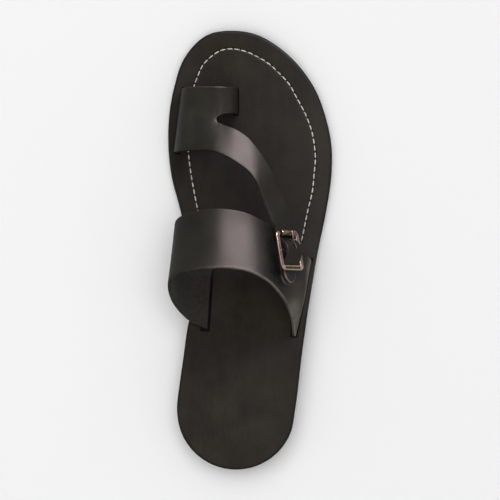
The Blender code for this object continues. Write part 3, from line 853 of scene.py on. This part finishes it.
insole = {
    "inset": 0.0008,
    "rimRadius": 0.0009,
    "lipRadius": 0.0004,
    "lipSteps": 2,
    "slitGaps": (0.0015, 0.0008, 0.0004, 0.0004),
    "slitReach": 0.0001,
    "slitCut": 0.05,
    "cell": 0.004,
    "sliver": 0.00005,
    "level": 0.00001,
    "wave": 0.00010,
    "waveLength": 0.028,
    "rowPitch": 0.0002,
    "rowCuts": ((0.005, 3), (0.002, 2)),  # how near the row, and how many cuts in each edge
    "rowFacing": 0.95,
    "grooveWidth": 0.0010,
    "grooveDepth": 0.00030,
    "holeRadius": 0.00055,
    "holeDepth": 0.00055,
    # painted light along the outer rim, and painted shade along the inner rim, behind the toe strap's
    # sweep and behind the instep strap: from, to, width in millimetres, and how much
    "paintedLight": ((46.0, 85.0, 45.0, 25.0, 8.0, 0.20),),
    "paintedShade": (
        (-49.0, 92.0, -47.0, 45.0, 6.0, 0.45), (-28.0, 58.0, 6.0, 32.0, 13.0, 0.36),
        (-22.0, -64.0, 20.0, -60.0, 18.0, 0.42),
    ),
}


# slits in the insole, from the strap edges that go down through it
def slitFrames():
    ends = (
        (instep["front"][0], instep["rear"][0]),
        (instep["front"][-1], instep["rear"][-1]),
        (toe["toeEdge"][0], toe["heelEdge"][0]),
        (toe["toeEdge"][-1], toe["loopHeelEdge"][-1]),
    )
    made = []
    for pair, gap in zip(ends, insole["slitGaps"]):
        front, rear = edgeRows(pair)
        run = rear - front
        place = Matrix.Rotation(math.atan2(run.y, run.x), 4, "Z")
        place.translation = ((front.x + rear.x) / 2, (front.y + rear.y) / 2, 0)
        size = Vector((math.hypot(run.x, run.y), strap["wall"], 0))
        made.append((place, size + Vector((2, 2, 0)) * gap))
    return made


def inSlit(point, slits):
    for place, size in slits:
        spot = place.inverted() @ point
        reach = size / 2 + Vector((1, 1, 0)) * insole["slitReach"]
        if abs(spot.x) < reach.x and abs(spot.y) < reach.y:
            return True
    return False


# the thread's groove and needle holes, and the slow waves of a leather footbed
def pressStitchRow(bm, top):
    s = insole
    holes = stitchHoles()
    punched, row = treeOf(holes), treeOf(evenPoints(holes, s["rowPitch"]))

    def away(tree, point):
        return tree.find(Vector((point.x, point.y, 0)))[2]

    for reach, cuts in s["rowCuts"]:
        bm.normal_update()
        flat = [face for face in bm.faces if face.normal.z > s["rowFacing"]]
        near = [face for face in flat if away(row, face.calc_center_median()) < reach]
        edges = list(dict.fromkeys(edge for face in near for edge in face.edges))
        bmesh.ops.subdivide_edges(bm, edges=edges, cuts=cuts, use_grid_fill=True)
    for vert in bm.verts:
        if abs(vert.co.z - top) > s["level"]:
            continue
        wave = noise.noise(vert.co / s["waveLength"]) * s["wave"]
        groove = s["grooveDepth"] * fade(away(row, vert.co), s["grooveWidth"])
        hole = s["holeDepth"] * fade(away(punched, vert.co), s["holeRadius"])
        vert.co.z += wave - groove - hole


def makeInsole():
    s = insole
    bottom = last["outsole"] + last["layerGap"]
    top = bottom + last["insole"]
    slits = slitFrames()
    bm = plate(soleOutline(s["inset"]), bottom, top)
    roundEdges(bm, edgesAt(bm, top), s["rimRadius"])
    piece = newPiece(bm, "insoleLayer", (insoleSkin, rimSkin))
    for place, size in slits:
        cutOut(piece, cutterBlock((size.x, size.y, s["slitCut"])), place)
    bm = bmesh.new()
    bm.from_mesh(piece.data)
    lips = [edge for edge in edgesAt(bm, top) if all(inSlit(vert.co, slits) for vert in edge.verts)]
    roundEdges(bm, lips, s["lipRadius"], s["lipSteps"])
    stationCuts(bm)
    reach = last["ballWidth"] / 2
    columns = int(2 * reach / s["cell"])
    cutAcross(bm, [(-reach + (i + 0.5) * s["cell"], 0, 0) for i in range(columns + 1)], (1, 0, 0))
    bmesh.ops.dissolve_degenerate(bm, dist=s["sliver"], edges=bm.edges[:])
    pressStitchRow(bm, top)
    bmesh.ops.triangulate(bm, faces=bm.faces[:])
    liftToLast(bm)
    finishWalls(bm)
    bm.to_mesh(piece.data)
    bm.free()
    piece.data.shade_smooth()
    keepFlat(piece)
    setFromLines(piece, "rubAndPaintedLight", s["paintedLight"])
    setFromLines(piece, "paintedShade", s["paintedShade"])
    return rideRoot(piece, "insole_leather", "insole")


# what the straps and the tab have in common
strap = {
    "wall": 0.0024,
    "slitShares": (1.0, 0.5, 0.0),
    "edgeAngle": math.radians(50),
    "edgeSteps": 2,
    "spotEdge": 4,
}


# a grid whose points lie where spotOf says, from a share of the width and a row
def layGrid(bm, strips, rows, spotOf):
    sheet = bmesh.ops.create_grid(bm, x_segments=strips, y_segments=rows, size=0.5)["verts"]
    for vert in sheet:
        strip = round((vert.co.x + 0.5) * strips)
        row = round((vert.co.y + 0.5) * rows)
        vert.co = spotOf(strip / strips, row)


def strapSheet(bm, firstEdge, secondEdge, strips):
    def spotOf(share, row):
        return onFootbed(firstEdge[row].lerp(secondEdge[row], share))

    layGrid(bm, strips, len(firstEdge) - 1, spotOf)


# a strap's end inside its slit, just clear of the outsole
def rooted(line, end=True):
    first, final = [
        [Vector((spot.x, spot.y, -last["insole"] * share)) for share in strap["slitShares"]]
        for spot in (line[0], line[-1])
    ]
    return first + line + (final[::-1] if end else [])


def pressCreases(bm, settings):
    bm.normal_update()
    moves = []
    for vert in bm.verts:
        move = noise.noise(vert.co / settings["waveLength"]) * settings["wave"]
        if vert.normal.z > 0:
            move -= fromLines(vert.co, settings["creases"]) / 1000
        moves.append(vert.normal * move)
    for vert, move in zip(bm.verts, moves):
        vert.co += move


def leatherWall(bm, name, thickness, rimRadius, skin, cut):
    piece = newPiece(bm, name, (skin, strapFlesh, cut))
    wall = piece.modifiers.new("wall", "SOLIDIFY")
    wall.thickness = thickness
    wall.offset = 0.0
    wall.use_even_offset = True
    wall.material_offset = 1
    wall.material_offset_rim = 2
    edge = piece.modifiers.new("edge", "BEVEL")
    edge.limit_method = "ANGLE"
    edge.angle_limit = strap["edgeAngle"]
    edge.width = rimRadius
    edge.segments = strap["edgeSteps"]
    edge.use_clamp_overlap = False
    soft = piece.modifiers.new("soft", "SUBSURF")
    soft.levels = soft.render_levels = 1
    return settle(piece)


# each vertex's rubbing and painted light: at a rim near the listed spots, rubbed and painted as a
# highlight, and a painted highlight along the foot that goes down into its slit; then painted light and
# painted shade from the listed lines
def markRubLightAndShade(piece, settings):
    mesh = piece.data
    skin, cut = [
        {i for face in mesh.polygons if face.material_index == index for i in face.vertices}
        for index in (0, 2)
    ]
    rim = treeOf([mesh.vertices[i].co for i in skin & cut])
    values = []
    for vert in mesh.vertices:
        amount = 0.0
        for x, y, reach, most in settings["rubAndPaintedLight"]:
            distance = math.hypot(vert.co.x * 1000 - x, vert.co.y * 1000 - y)
            amount = max(amount, most * fade(distance, reach, strap["spotEdge"]))
        amount *= fade(rim.find(vert.co)[2], settings["rimReach"])
        if "paintedFootHighlight" in settings and vert.co.x > 0 and vert.normal.x > 0:
            rise = vert.co.z - footbed(vert.co.y)
            amount = max(amount, settings["paintedFootHighlight"] * fade(rise, settings["footLine"]))
        values.append(max(amount, fromLines(vert.co, settings["paintedLight"])))
    setValues(piece, "rubAndPaintedLight", values)
    setFromLines(piece, "paintedShade", settings["paintedShade"])


# strap edges in percents: across, along, height above the insole
instep = {
    "front": (
        (-24.4, 49.3, 5.4), (-31.6, 50.9, 10.5), (-41.1, 53.8, 21.0), (-44.5, 55.9, 36.0),
        (-41.6, 57.5, 54.0), (-32.1, 58.8, 70.0), (-17.2, 59.3, 80.0), (-2.9, 58.4, 77.0),
        (9.1, 56.1, 66.0), (21.5, 52.7, 42.0), (32.5, 49.6, 17.5), (36.5, 47.9, 3.0),
    ),
    "rear": (
        (-27.3, 32.1, 5.2), (-36.8, 33.9, 10.5), (-45.5, 37.5, 24.0), (-48.8, 41.3, 44.0),
        (-46.7, 43.9, 68.0), (-38.3, 45.2, 88.0), (-20.6, 45.9, 100.0), (-3.8, 45.4, 97.0),
        (8.6, 43.4, 86.0), (18.9, 39.6, 60.0), (24.7, 35.5, 28.0), (26.6, 30.4, 3.0),
    ),
    "steps": 9,
    "strips": 20,
    "smoothing": 0.25,
    # how far the outer end bellies out over its slit, between which lines along the shoe, and how high
    "belly": 0.0017,
    "bellySpan": (-0.014, -0.054),
    "bellyLean": 0.7,
    "bellyHeight": (0.0035, 0.008),
    "rimRadius": 0.0005,
    "wave": 0.00014,
    "waveLength": 0.022,
    # soft creases: from, to, width, depth in millimetres
    "creases": ((22.0, -23.0, 26.5, -38.0, 3.0, 0.30),),
    # rubbed edges, lighter also as painted highlights where the rims catch light: across, along, reach
    # in millimetres, and how much
    "rubAndPaintedLight": ((4.0, -16.0, 29.0, 0.55), (27.0, -50.0, 18.0, 0.60)),
    "rimReach": 0.0008,
    # a painted highlight along the outer foot, fading over this height above the insole
    "paintedFootHighlight": 1.0,
    "footLine": 0.0042,
    # painted warm sheen low on the outer foot, and painted shade beside the buckle and down the outer
    # flank: from, to, width in millimetres, and how much
    "paintedLight": ((28.0, -36.0, 30.0, -48.0, 4.5, 0.40), (30.5, -23.0, 31.5, -32.0, 5.0, 0.10)),
    "paintedShade": ((8.0, 21.0, 15.5, -12.0, 4.2, 0.75), (16.0, -16.0, 22.5, -32.0, 3.6, 0.72)),
}


def instepPoint(row, share):
    front, rear = edgeRows(instep["front"]), edgeRows(instep["rear"])
    return onFootbed(curveAt(front, row).lerp(curveAt(rear, row), share))


def bellyOut(bm):
    s = instep
    start, end = s["bellySpan"]
    low, high = s["bellyHeight"]
    for vert in bm.verts:
        share = (vert.co.y - start) / (end - start)
        rise = vert.co.z - footbed(vert.co.y)
        if vert.co.x < 0 or not 0 < share < 1 or rise < 0:
            continue
        rising = rise / low if rise < low else fade(rise - low, high)
        vert.co.x += s["belly"] * math.sin(math.pi * share ** s["bellyLean"]) * rising


def makeInstepStrap():
    s = instep
    front, rear = [rooted(curveThrough(edgeRows(s[key]), s["steps"])) for key in ("front", "rear")]
    bm = bmesh.new()
    strapSheet(bm, front, rear, s["strips"])
    bmesh.ops.smooth_vert(
        bm, verts=bm.verts[:], factor=s["smoothing"],
        use_axis_x=True, use_axis_y=False, use_axis_z=True,
    )
    bellyOut(bm)
    pressCreases(bm, s)
    piece = leatherWall(bm, "instepStrap", strap["wall"], s["rimRadius"], instepSkin, strapCut)
    markRubLightAndShade(piece, s)
    return rideRoot(piece, "black_leather", "instep_strap")


# the buckle's own frame lies on the instep strap: x across it, y to the toe
buckle = {
    "row": 8.80,
    "rowStep": 0.01,
    "share": 0.315,
    "swing": 0.165,
    "tilt": math.radians(5),
    "probe": 0.02,
    "length": 0.0256,
    "width": 0.0226,
    "corner": 0.0022,
    "cornerSteps": 5,
    "barWidth": 0.0031,
    "barThickness": 0.0014,
    "squareness": 0.55,
    "grooveDepth": 0.00022,
    "grooveShare": 0.42,
    "grooveFacing": 0.9,
    "grooveReach": 0.2,
    "brightReach": 0.5,
    "endHeight": 0.0062,
    "middleHeight": 0.0046,
    "middleRadius": 0.0009,
    "middleSteps": 8,
    "middleBend": 10,
    "pinWidth": 0.0017,
    "rollerRadius": 0.0021,
    "rollerWall": 0.0004,
    "rollerRim": 1 / 3,
    "rollerSpan": (-0.0063, 0.0079),
    "sides": 20,
    "steepRun": 0.99,
    "smoothAngle": 40,
}


def bucklePlace():
    row, share, step = buckle["row"], buckle["share"], buckle["rowStep"]
    run = instepPoint(row + step, share) - instepPoint(row - step, share)
    ruling = instepPoint(row, 0) - instepPoint(row, 1)
    normal = run.cross(ruling).normalized()
    swing = buckle["swing"]
    toeward = Vector((-swing, 1, -(normal.y - swing * normal.x) / normal.z)).normalized()
    raised = Matrix.Rotation(-buckle["tilt"], 3, toeward) @ normal
    matrix = Matrix((toeward.cross(raised), toeward, raised)).transposed().to_4x4()
    matrix.translation = instepPoint(row, share) + normal * strap["wall"] / 2
    return matrix


def outerFace(piece):
    bm = bmesh.new()
    bm.from_mesh(piece.data)
    made = BVHTree.FromBMesh(bm)
    bm.free()
    return made


# height of a piece's outer face under a spot of the buckle's frame
def heightUnder(tree, place, spot):
    above = place @ Vector((spot.x, spot.y, buckle["probe"]))
    return (place.inverted() @ tree.ray_cast(above, -place.to_3x3().col[2])[0]).z


# a spot of a strap's square end, in the buckle's frame, moved into a round end
def roundEnd(spot, middle, half, tip):
    run = (tip + half - spot.y) / half
    if run <= 0:
        return spot
    side = (spot.x - middle) / half
    x = middle + half * side * math.sqrt(1 - run**2 / 2)
    y = tip + half - half * run * math.sqrt(1 - side**2 / 2)
    return Vector((x, y, spot.z))


tab = {
    "width": 0.0126,
    "thickness": 0.0010,
    "rimRadius": 0.00022,
    "fit": 0.0003,
    "lowerLine": (-0.0213, -0.0180, -0.0145, -0.0115, -0.0080, -0.0040),
    # the short layer's line: along, and height above where it comes to lie
    "upperLine": ((-0.0024, 0.0022), (-0.0048, 0.0004), (-0.0072, 0.0)),
    "turns": 10,
    "steps": 8,
    "dropRun": 0.0062,
    "strips": 8,
    "slotSize": (0.0032, 0.0086, 0.012),
    "lay": 0.0002,
    # rubbed edges with painted highlights, painted light and painted shade as on the straps
    "rubAndPaintedLight": ((22.3, -20.3, 5.0, 0.85),),
    "rimReach": 0.0005,
    "paintedLight": (),
    "paintedShade": (),
}


# a tab folded round the middle bar: long layer on the strap, short layer on top of it
def makeTab(place, strapTree):
    s = tab
    bar = buckle["middleHeight"]
    radius = buckle["middleRadius"] + s["fit"] + s["thickness"] / 2
    low = s["thickness"] / 2 + s["lay"]
    high = low + s["thickness"] + s["lay"]
    line = [Vector((0, y, low)) for y in s["lowerLine"]]
    for i in range(s["turns"] + 1):
        angle = math.pi * (i / s["turns"] - 0.5)
        line.append(Vector((0, radius * math.cos(angle), bar + radius * math.sin(angle))))
    line += [Vector((0, y, high + lift)) for y, lift in s["upperLine"]]
    path = curveThrough(line, s["steps"])
    path.reverse()
    rows = len(path) - 1
    fold = rows - (len(s["lowerLine"]) - 1 + s["turns"] / 2) * s["steps"]

    def spotOf(share, row):
        side = Vector(((share - 0.5) * s["width"], 0, 0))
        spot = roundEnd(path[row] + side, 0.0, s["width"] / 2, s["lowerLine"][0])
        drop = ease(-spot.y / s["dropRun"])
        rest = heightUnder(strapTree, place, spot) + (high if row < fold else low)
        return place @ Vector((spot.x, spot.y, spot.z + (rest - spot.z) * drop))

    bm = bmesh.new()
    layGrid(bm, s["strips"], rows, spotOf)
    piece = leatherWall(bm, "buckleTab", s["thickness"], s["rimRadius"], toeSkin, blackCut)
    slot = Matrix.Translation((prong["across"], radius / 2, bar))
    cutOut(piece, cutterBlock(s["slotSize"]), place @ slot)
    markRubLightAndShade(piece, s)
    return rideRoot(piece, "black_leather", "buckle_tab")


# the toe strap's edges, as the instep strap's
toe = {
    "toeEdge": (
        (-40.1, 86.8, 2.6), (-40.2, 86.8, 18.0), (-36.9, 87.0, 33.0), (-30.8, 87.1, 41.5),
        (-21.1, 87.1, 45.5), (-16.2, 87.0, 44.0), (-11.6, 86.9, 36.5), (-9.0, 86.7, 19.0),
        (-8.6, 86.6, 2.6),
    ),
    "notchLine": (
        (-42.4, 79.8, 2.6), (-42.7, 79.9, 18.4), (-39.6, 79.8, 33.3), (-33.5, 79.8, 42.5),
        (-20.5, 79.5, 49.0),
    ),
    "loopHeelEdge": ((-17.2, 80.8, 47.8), (-12.2, 81.0, 39.6), (-8.9, 80.9, 19.8), (-8.5, 80.8, 2.6)),
    "sweepToeEdge": (
        (-16.5, 78.3, 52.2), (-10.0, 77.5, 55.3), (-2.7, 75.8, 56.5), (3.8, 73.1, 56.0),
        (10.5, 69.3, 53.7), (16.7, 64.6, 50.6), (22.5, 59.3, 47.4),
    ),
    "heelEdge": (
        (-44.9, 72.1, 2.6), (-45.2, 72.2, 19.3), (-42.1, 72.4, 38.6), (-35.4, 72.5, 51.8),
        (-24.4, 72.5, 61.0), (-16.7, 71.5, 65.6), (-9.6, 70.0, 68.4), (-1.9, 67.9, 69.8),
        (2.9, 65.7, 70.3), (6.3, 63.0, 70.2), (9.9, 59.5, 69.3), (13.7, 56.1, 68.1),
    ),
    "steps": 9,
    "strips": 10,
    "rimRadius": 0.00045,
    "wave": 0.00012,
    "waveLength": 0.02,
    "creases": ((-25.4, 109.0, -25.4, 88.0, 3.2, 0.18),),
    # rubbed edges with painted highlights, as the instep strap's
    "rubAndPaintedLight": ((-28.0, 105.5, 14.0, 0.13), (-17.5, 83.5, 7.0, 0.24), (23.5, -18.5, 5.5, 0.85)),
    "rimReach": 0.0005,
    # painted sheen on the toe loop and the sweep, as the instep strap's
    "paintedLight": (
        (-12.5, 107.0, -12.5, 90.0, 4.0, 0.05), (-33.0, 104.0, -33.0, 92.0, 8.0, 0.022),
        (-38.0, 86.0, -38.0, 70.0, 4.0, 0.05), (9.0, 27.0, 14.0, 15.0, 3.0, 0.05),
    ),
    "paintedShade": (),
    "notchRadius": 0.0026,
    "smoothing": 0.5,
    "smoothTimes": 16,
    "smoothFrom": 0.022,
    "smoothFacing": 0.3,
}

# the tail goes under the buckle's ends and over its middle bar; along and height in the buckle's frame
tail = {
    "line": (
        (0.0150, 0.0025), (0.0113, 0.0024), (0.0090, 0.0032), (0.0060, 0.0063), (0.0032, 0.0084),
        (0.0, 0.0090), (-0.0034, 0.0084), (-0.0064, 0.0064), (-0.0094, 0.0034), (-0.0130, 0.0032),
        (-0.0165, 0.0032), (-0.0200, 0.0032),
    ),
    "layFrom": -0.0105,
    "layRun": 0.0045,
    "lay": 0.0001,
    "across": 0.0007,
    "width": 0.0138,
    "holeWidth": 0.0026,
    "holeLength": 0.0076,
    "holeDepth": 0.012,
    "holeSides": 24,
    "holeAlong": 0.0040,
}


# two edges that part at a point part in a round end instead
def roundNotch(first, second, radius):
    for i in range(1, min(len(first), len(second))):
        middle = first[i].lerp(second[i], 0.5)
        distance = (middle - first[0]).length
        half = (first[i] - second[i]).length / 2
        wanted = math.sqrt(max(distance * (2 * radius - distance), 0.0))
        if distance > radius or half >= wanted:
            break
        first[i] = middle.lerp(first[i], wanted / half)
        second[i] = middle.lerp(second[i], wanted / half)


# past the buckle the tail lies down on the tab and the strap under it
def layTail(bm, place, strapTree):
    back = place.inverted()
    over = tab["lay"] + tab["thickness"] + tail["lay"] + strap["wall"] / 2
    for vert in bm.verts:
        spot = back @ vert.co
        share = ease((tail["layFrom"] - spot.y) / tail["layRun"])
        if share > 0 and vert.co.y < toe["smoothFrom"]:
            spot = roundEnd(spot, tail["across"], tail["width"] / 2, tail["line"][-1][0])
            rest = heightUnder(strapTree, place, spot) + over
            vert.co = place @ Vector((spot.x, spot.y, spot.z + (rest - spot.z) * share))


def punchTail(piece, place):
    hole = bmesh.new()
    radius = tail["holeWidth"] / 2
    bmesh.ops.create_cone(
        hole, cap_ends=True, segments=tail["holeSides"],
        radius1=radius, radius2=radius, depth=tail["holeDepth"],
    )
    bmesh.ops.scale(hole, vec=(1, tail["holeLength"] / tail["holeWidth"], 1), verts=hole.verts[:])
    spot = (prong["across"], tail["holeAlong"], buckle["endHeight"])
    cutOut(piece, hole, place @ Matrix.Translation(spot))


def makeToeStrap(place, strapTree):
    s = toe
    sides = [tail["across"] + side * tail["width"] / 2 for side in (1, -1)]
    tailToe, tailHeel = [
        [offFootbed(place @ Vector((x, y, z))) for y, z in tail["line"]] for x in sides
    ]
    notch = edgeRows(s["notchLine"])
    shared = curveThrough(notch, s["steps"])
    toeLine = curveThrough(edgeRows(s["toeEdge"]), s["steps"])
    loop = curveThrough(notch[-1:] + edgeRows(s["loopHeelEdge"]), s["steps"])
    sweep = curveThrough(notch[-1:] + edgeRows(s["sweepToeEdge"]) + tailToe, s["steps"])
    heelLine = curveThrough(edgeRows(s["heelEdge"]) + tailHeel, s["steps"])
    roundNotch(loop, sweep, s["notchRadius"])
    sweepLine = rooted(shared + sweep[1:], end=False)
    bm = bmesh.new()
    strapSheet(bm, rooted(toeLine), rooted(shared + loop[1:]), s["strips"])
    strapSheet(bm, sweepLine, rooted(heelLine, end=False), s["strips"])
    bmesh.ops.remove_doubles(bm, verts=bm.verts[:], dist=touching)
    inner = [vert for vert in bm.verts if not vert.is_boundary and vert.co.y > s["smoothFrom"]]
    crown = [vert for vert in inner if vert.normal.z > s["smoothFacing"]]
    for _ in range(s["smoothTimes"]):
        bmesh.ops.smooth_vert(
            bm, verts=crown, factor=s["smoothing"],
            use_axis_x=True, use_axis_y=True, use_axis_z=True,
        )
    pressCreases(bm, s)
    layTail(bm, place, strapTree)
    piece = leatherWall(bm, "toeStrap", strap["wall"], s["rimRadius"], toeSkin, blackCut)
    punchTail(piece, place)
    markRubLightAndShade(piece, s)
    return rideRoot(piece, "black_leather", "toe_strap")


def runsAlong(path):
    return [end - start for start, end in zip(path[:1] + path, path[1:] + path[-1:])]


# rings bridged into a tube; a station is a spot, a run, half a width and half a height
def ringTube(bm, stations, sides, closed=False, squareness=1.0, groove=0.0):
    rings = []
    for i, (spot, run, width, height) in enumerate(stations):
        steep = abs(run.normalized().z) >= buckle["steepRun"]
        side = Vector((1, 0, 0)) if steep else run.cross(Vector((0, 0, 1)))
        turn = Matrix((side.normalized(), side.cross(run).normalized(), run.normalized())).transposed()
        capped = not closed and i in (0, len(stations) - 1)
        ring = bmesh.ops.create_circle(bm, cap_ends=capped, segments=sides, radius=1.0)["verts"]
        for vert in ring:
            u, v = vert.co.x, vert.co.y
            dip = groove * fade(u, buckle["grooveShare"]) if v > 0 else 0.0
            u = math.copysign(abs(u) ** squareness, u) * width
            v = math.copysign(abs(v) ** squareness, v) * height - dip
            vert.co = spot + turn @ Vector((u, v, 0))
        rings.append(list(dict.fromkeys(edge for vert in ring for edge in vert.link_edges)))
    for first, second in zip(rings, rings[1:] + rings[:1] if closed else rings[1:]):
        bmesh.ops.bridge_loops(bm, edges=first + second)


# stations of the frame's rounded rectangle; the bar inside the roller is a thin pin
def frameStations():
    s = buckle
    halfWidth = (s["width"] - s["barWidth"]) / 2 - s["corner"]
    halfLength = (s["length"] - s["barWidth"]) / 2 - s["corner"]
    stations = []
    for quarter, (x, y) in enumerate(((1, 1), (-1, 1), (-1, -1), (1, -1))):
        centre = Vector((x * halfWidth, y * halfLength, s["endHeight"]))
        for step in range(s["cornerSteps"] + 1):
            angle = math.pi / 2 * (quarter + step / s["cornerSteps"])
            out = Vector((math.cos(angle), math.sin(angle), 0))
            pin = y > 0 and (step == s["cornerSteps"] if x > 0 else step == 0)
            width = s["pinWidth"] if pin else s["barWidth"]
            height = min(width, s["barThickness"])
            run = Vector((-out.y, out.x, 0))
            stations.append((centre + out * s["corner"], run, width / 2, height / 2))
    return stations


def brassPiece(bm, name, node, place, finishes, smoothAngle):
    bmesh.ops.recalc_face_normals(bm, faces=bm.faces[:])
    bmesh.ops.transform(bm, matrix=place, verts=bm.verts[:])
    piece = newPiece(bm, name, finishes, smoothAngle)
    return rideRoot(piece, "aged_brass", node)


def makeFrame(place):
    s = buckle
    endBar = (s["length"] - s["barWidth"]) / 2
    reach = (s["width"] - s["barWidth"]) / 2
    bm = bmesh.new()
    ringTube(bm, frameStations(), s["sides"], True, s["squareness"], s["grooveDepth"])
    bm.normal_update()
    # blackened along the grooves of both end bars; the heel end bar takes a brighter copy of the brass,
    # painted light
    for face in bm.faces:
        middle = face.calc_center_median()
        onBar = abs(middle.x) < s["width"] / 4 and face.normal.z > s["grooveFacing"]
        if onBar and abs(abs(middle.y) - endBar) < s["barWidth"] * s["grooveReach"]:
            face.material_index = 2
        elif middle.y < -endBar + s["barWidth"] * s["brightReach"]:
            face.material_index = 3
    bar, steps = [], s["middleSteps"]
    for step in range(-steps, steps + 1):
        lift = (s["endHeight"] - s["middleHeight"]) * (step / steps) ** s["middleBend"]
        bar.append(Vector((reach * step / steps, 0, s["middleHeight"] + lift)))
    radius = s["middleRadius"]
    ringTube(bm, [(spot, run, radius, radius) for spot, run in zip(bar, runsAlong(bar))], s["sides"])
    start, end = s["rollerSpan"]
    outer, inner = s["rollerRadius"], s["rollerRadius"] - s["rollerWall"]
    rim = s["rollerWall"] * s["rollerRim"]
    profile = (
        (start, outer - rim), (start + rim, outer), (end - rim, outer),
        (end, outer - rim), (end, inner), (start, inner),
    )
    run = Vector((1, 0, 0))
    old = set(bm.faces)
    roller = [(Vector((x, endBar, s["endHeight"])), run, size, size) for x, size in profile]
    ringTube(bm, roller, s["sides"], True)
    for face in bm.faces:
        if face not in old:
            face.material_index = 1
    finishes = (brassSkin, brassDark, brassGroove, brassPaintedBright)
    return brassPiece(bm, "buckleFrame", "buckle_frame", place, finishes, s["smoothAngle"])


prong = {
    "across": 0.0015,
    "radius": 0.0007,
    "fit": 0.0003,
    "hookStart": math.radians(-60),
    "hookTurn": math.radians(-210),
    "hookSteps": 9,
    "line": ((0.0022, 0.0069), (0.0044, 0.0083), (0.0074, 0.0093), (0.0110, 0.0094), (0.0120, 0.0092)),
    "steps": 5,
    "sides": 10,
    "tip": 0.72,
    "darkTipFrom": 0.0092,
    "smoothAngle": 50,
}


def makeProng(place):
    s = prong
    hook = buckle["middleRadius"] + s["fit"] + s["radius"]
    line = []
    for i in range(s["hookSteps"] + 1):
        angle = s["hookStart"] + s["hookTurn"] * i / s["hookSteps"]
        turn = Vector((0, math.cos(angle), math.sin(angle)))
        line.append(Vector((s["across"], 0, buckle["middleHeight"])) + turn * hook)
    shaft = line[-1:] + [Vector((s["across"], y, z)) for y, z in s["line"]]
    path = line + curveThrough(shaft, s["steps"])[1:]
    radii = [s["radius"]] * len(path)
    radii[0] = radii[-1] = s["radius"] * s["tip"]
    bm = bmesh.new()
    stations = [(spot, run, size, size) for spot, run, size in zip(path, runsAlong(path), radii)]
    ringTube(bm, stations, s["sides"])
    # past this point the tip takes the blackened finish, so it shows darker
    for face in bm.faces:
        face.material_index = 1 if face.calc_center_median().y > s["darkTipFrom"] else 0
    finishes = (brassWorn, brassGroove)
    return brassPiece(bm, "buckleProng", "buckle_prong", place, finishes, s["smoothAngle"])


makeOutsole()
makeHeel()
makeInsole()
makeStitches()
strapTree = outerFace(makeInstepStrap())
place = bucklePlace()
makeTab(place, strapTree)
makeToeStrap(place, strapTree)
makeFrame(place)
makeProng(place)

# plain pale floor, soft lights and the camera straight above the shoe
studio = {
    "floorSize": 6.0,
    "floorDrop": 0.0002,
    "floorPlain": {"Roughness": 0.9, "Specular IOR Level": 0.1},
    "floorColour": (0.96, 0.96, 0.96),
    "floorStain": 0.985,
    "floorFilm": {"Scale": 3.0, "Cover": 0.4},
    "worldColour": (1.0, 1.0, 1.0),
    "worldStrength": 0.40,
    # name, direction to it, distance, size across, size along, roll, watts, colour, what it lights
    "lights": (
        ("sheenSoftbox", (0.34, 0.69, 0.64), 1.2, 1.20, 0.26, 37, 84.0, (0.964, 0.883, 1.0), "gloss"),
        ("topSoftbox", (-0.1, 0.1, 1.0), 2.0, 2.2, 2.2, 0, 30.0, (1.0, 1.0, 1.0), "tone"),
    ),
    "cameraHeight": 4.0,
    "cameraLens": 450.0,
    "cameraReach": 100.0,
}


def makeFloor():
    s = studio
    bm = bmesh.new()
    bmesh.ops.create_grid(bm, x_segments=1, y_segments=1, size=s["floorSize"])
    bmesh.ops.translate(bm, verts=bm.verts[:], vec=(0, 0, -s["floorDrop"]))
    paper, tree, shader = newMaterial("paperFloor", s["floorPlain"])
    film = groupIn(tree, smudge, s["floorFilm"])
    stained = [channel * s["floorStain"] for channel in s["floorColour"]]
    colour = mixColour(tree, film["Mask"], s["floorColour"], stained)
    tree.links.new(colour, shader.inputs["Base Color"])
    floor = newPiece(bm, "floor", (paper,))
    floor.visible_glossy = False


def makeLights():
    s = studio
    world = bpy.data.worlds.new("studioAir")
    world.use_nodes = True
    air = world.node_tree.nodes["Background"]
    air.inputs["Color"].default_value = (*s["worldColour"], 1.0)
    air.inputs["Strength"].default_value = s["worldStrength"]
    bpy.context.scene.world = world
    for name, way, distance, width, length, roll, watts, colour, effect in s["lights"]:
        lamp = bpy.data.lights.new(name, "AREA")
        lamp.shape = "RECTANGLE"
        lamp.size, lamp.size_y = width, length
        lamp.energy = watts
        lamp.color = colour
        light = bpy.data.objects.new(name, lamp)
        way = Vector(way).normalized()
        light.location = way * distance
        turn = Quaternion((0, 0, 1), math.radians(roll))
        light.rotation_euler = (way.to_track_quat("Z", "Y") @ turn).to_euler()
        light.visible_camera = False
        light.visible_diffuse = effect == "tone"
        light.visible_glossy = effect == "gloss"
        bpy.context.scene.collection.objects.link(light)


def makeCamera():
    s = studio
    camera = bpy.data.cameras.new("overhead")
    camera.lens = s["cameraLens"]
    camera.clip_end = s["cameraReach"]
    eye = bpy.data.objects.new("overhead", camera)
    eye.location = (0, 0, s["cameraHeight"])
    bpy.context.scene.collection.objects.link(eye)
    bpy.context.scene.camera = eye
    bpy.context.scene.view_settings.view_transform = "Standard"


makeFloor()
makeLights()
makeCamera()
print("studio ready")
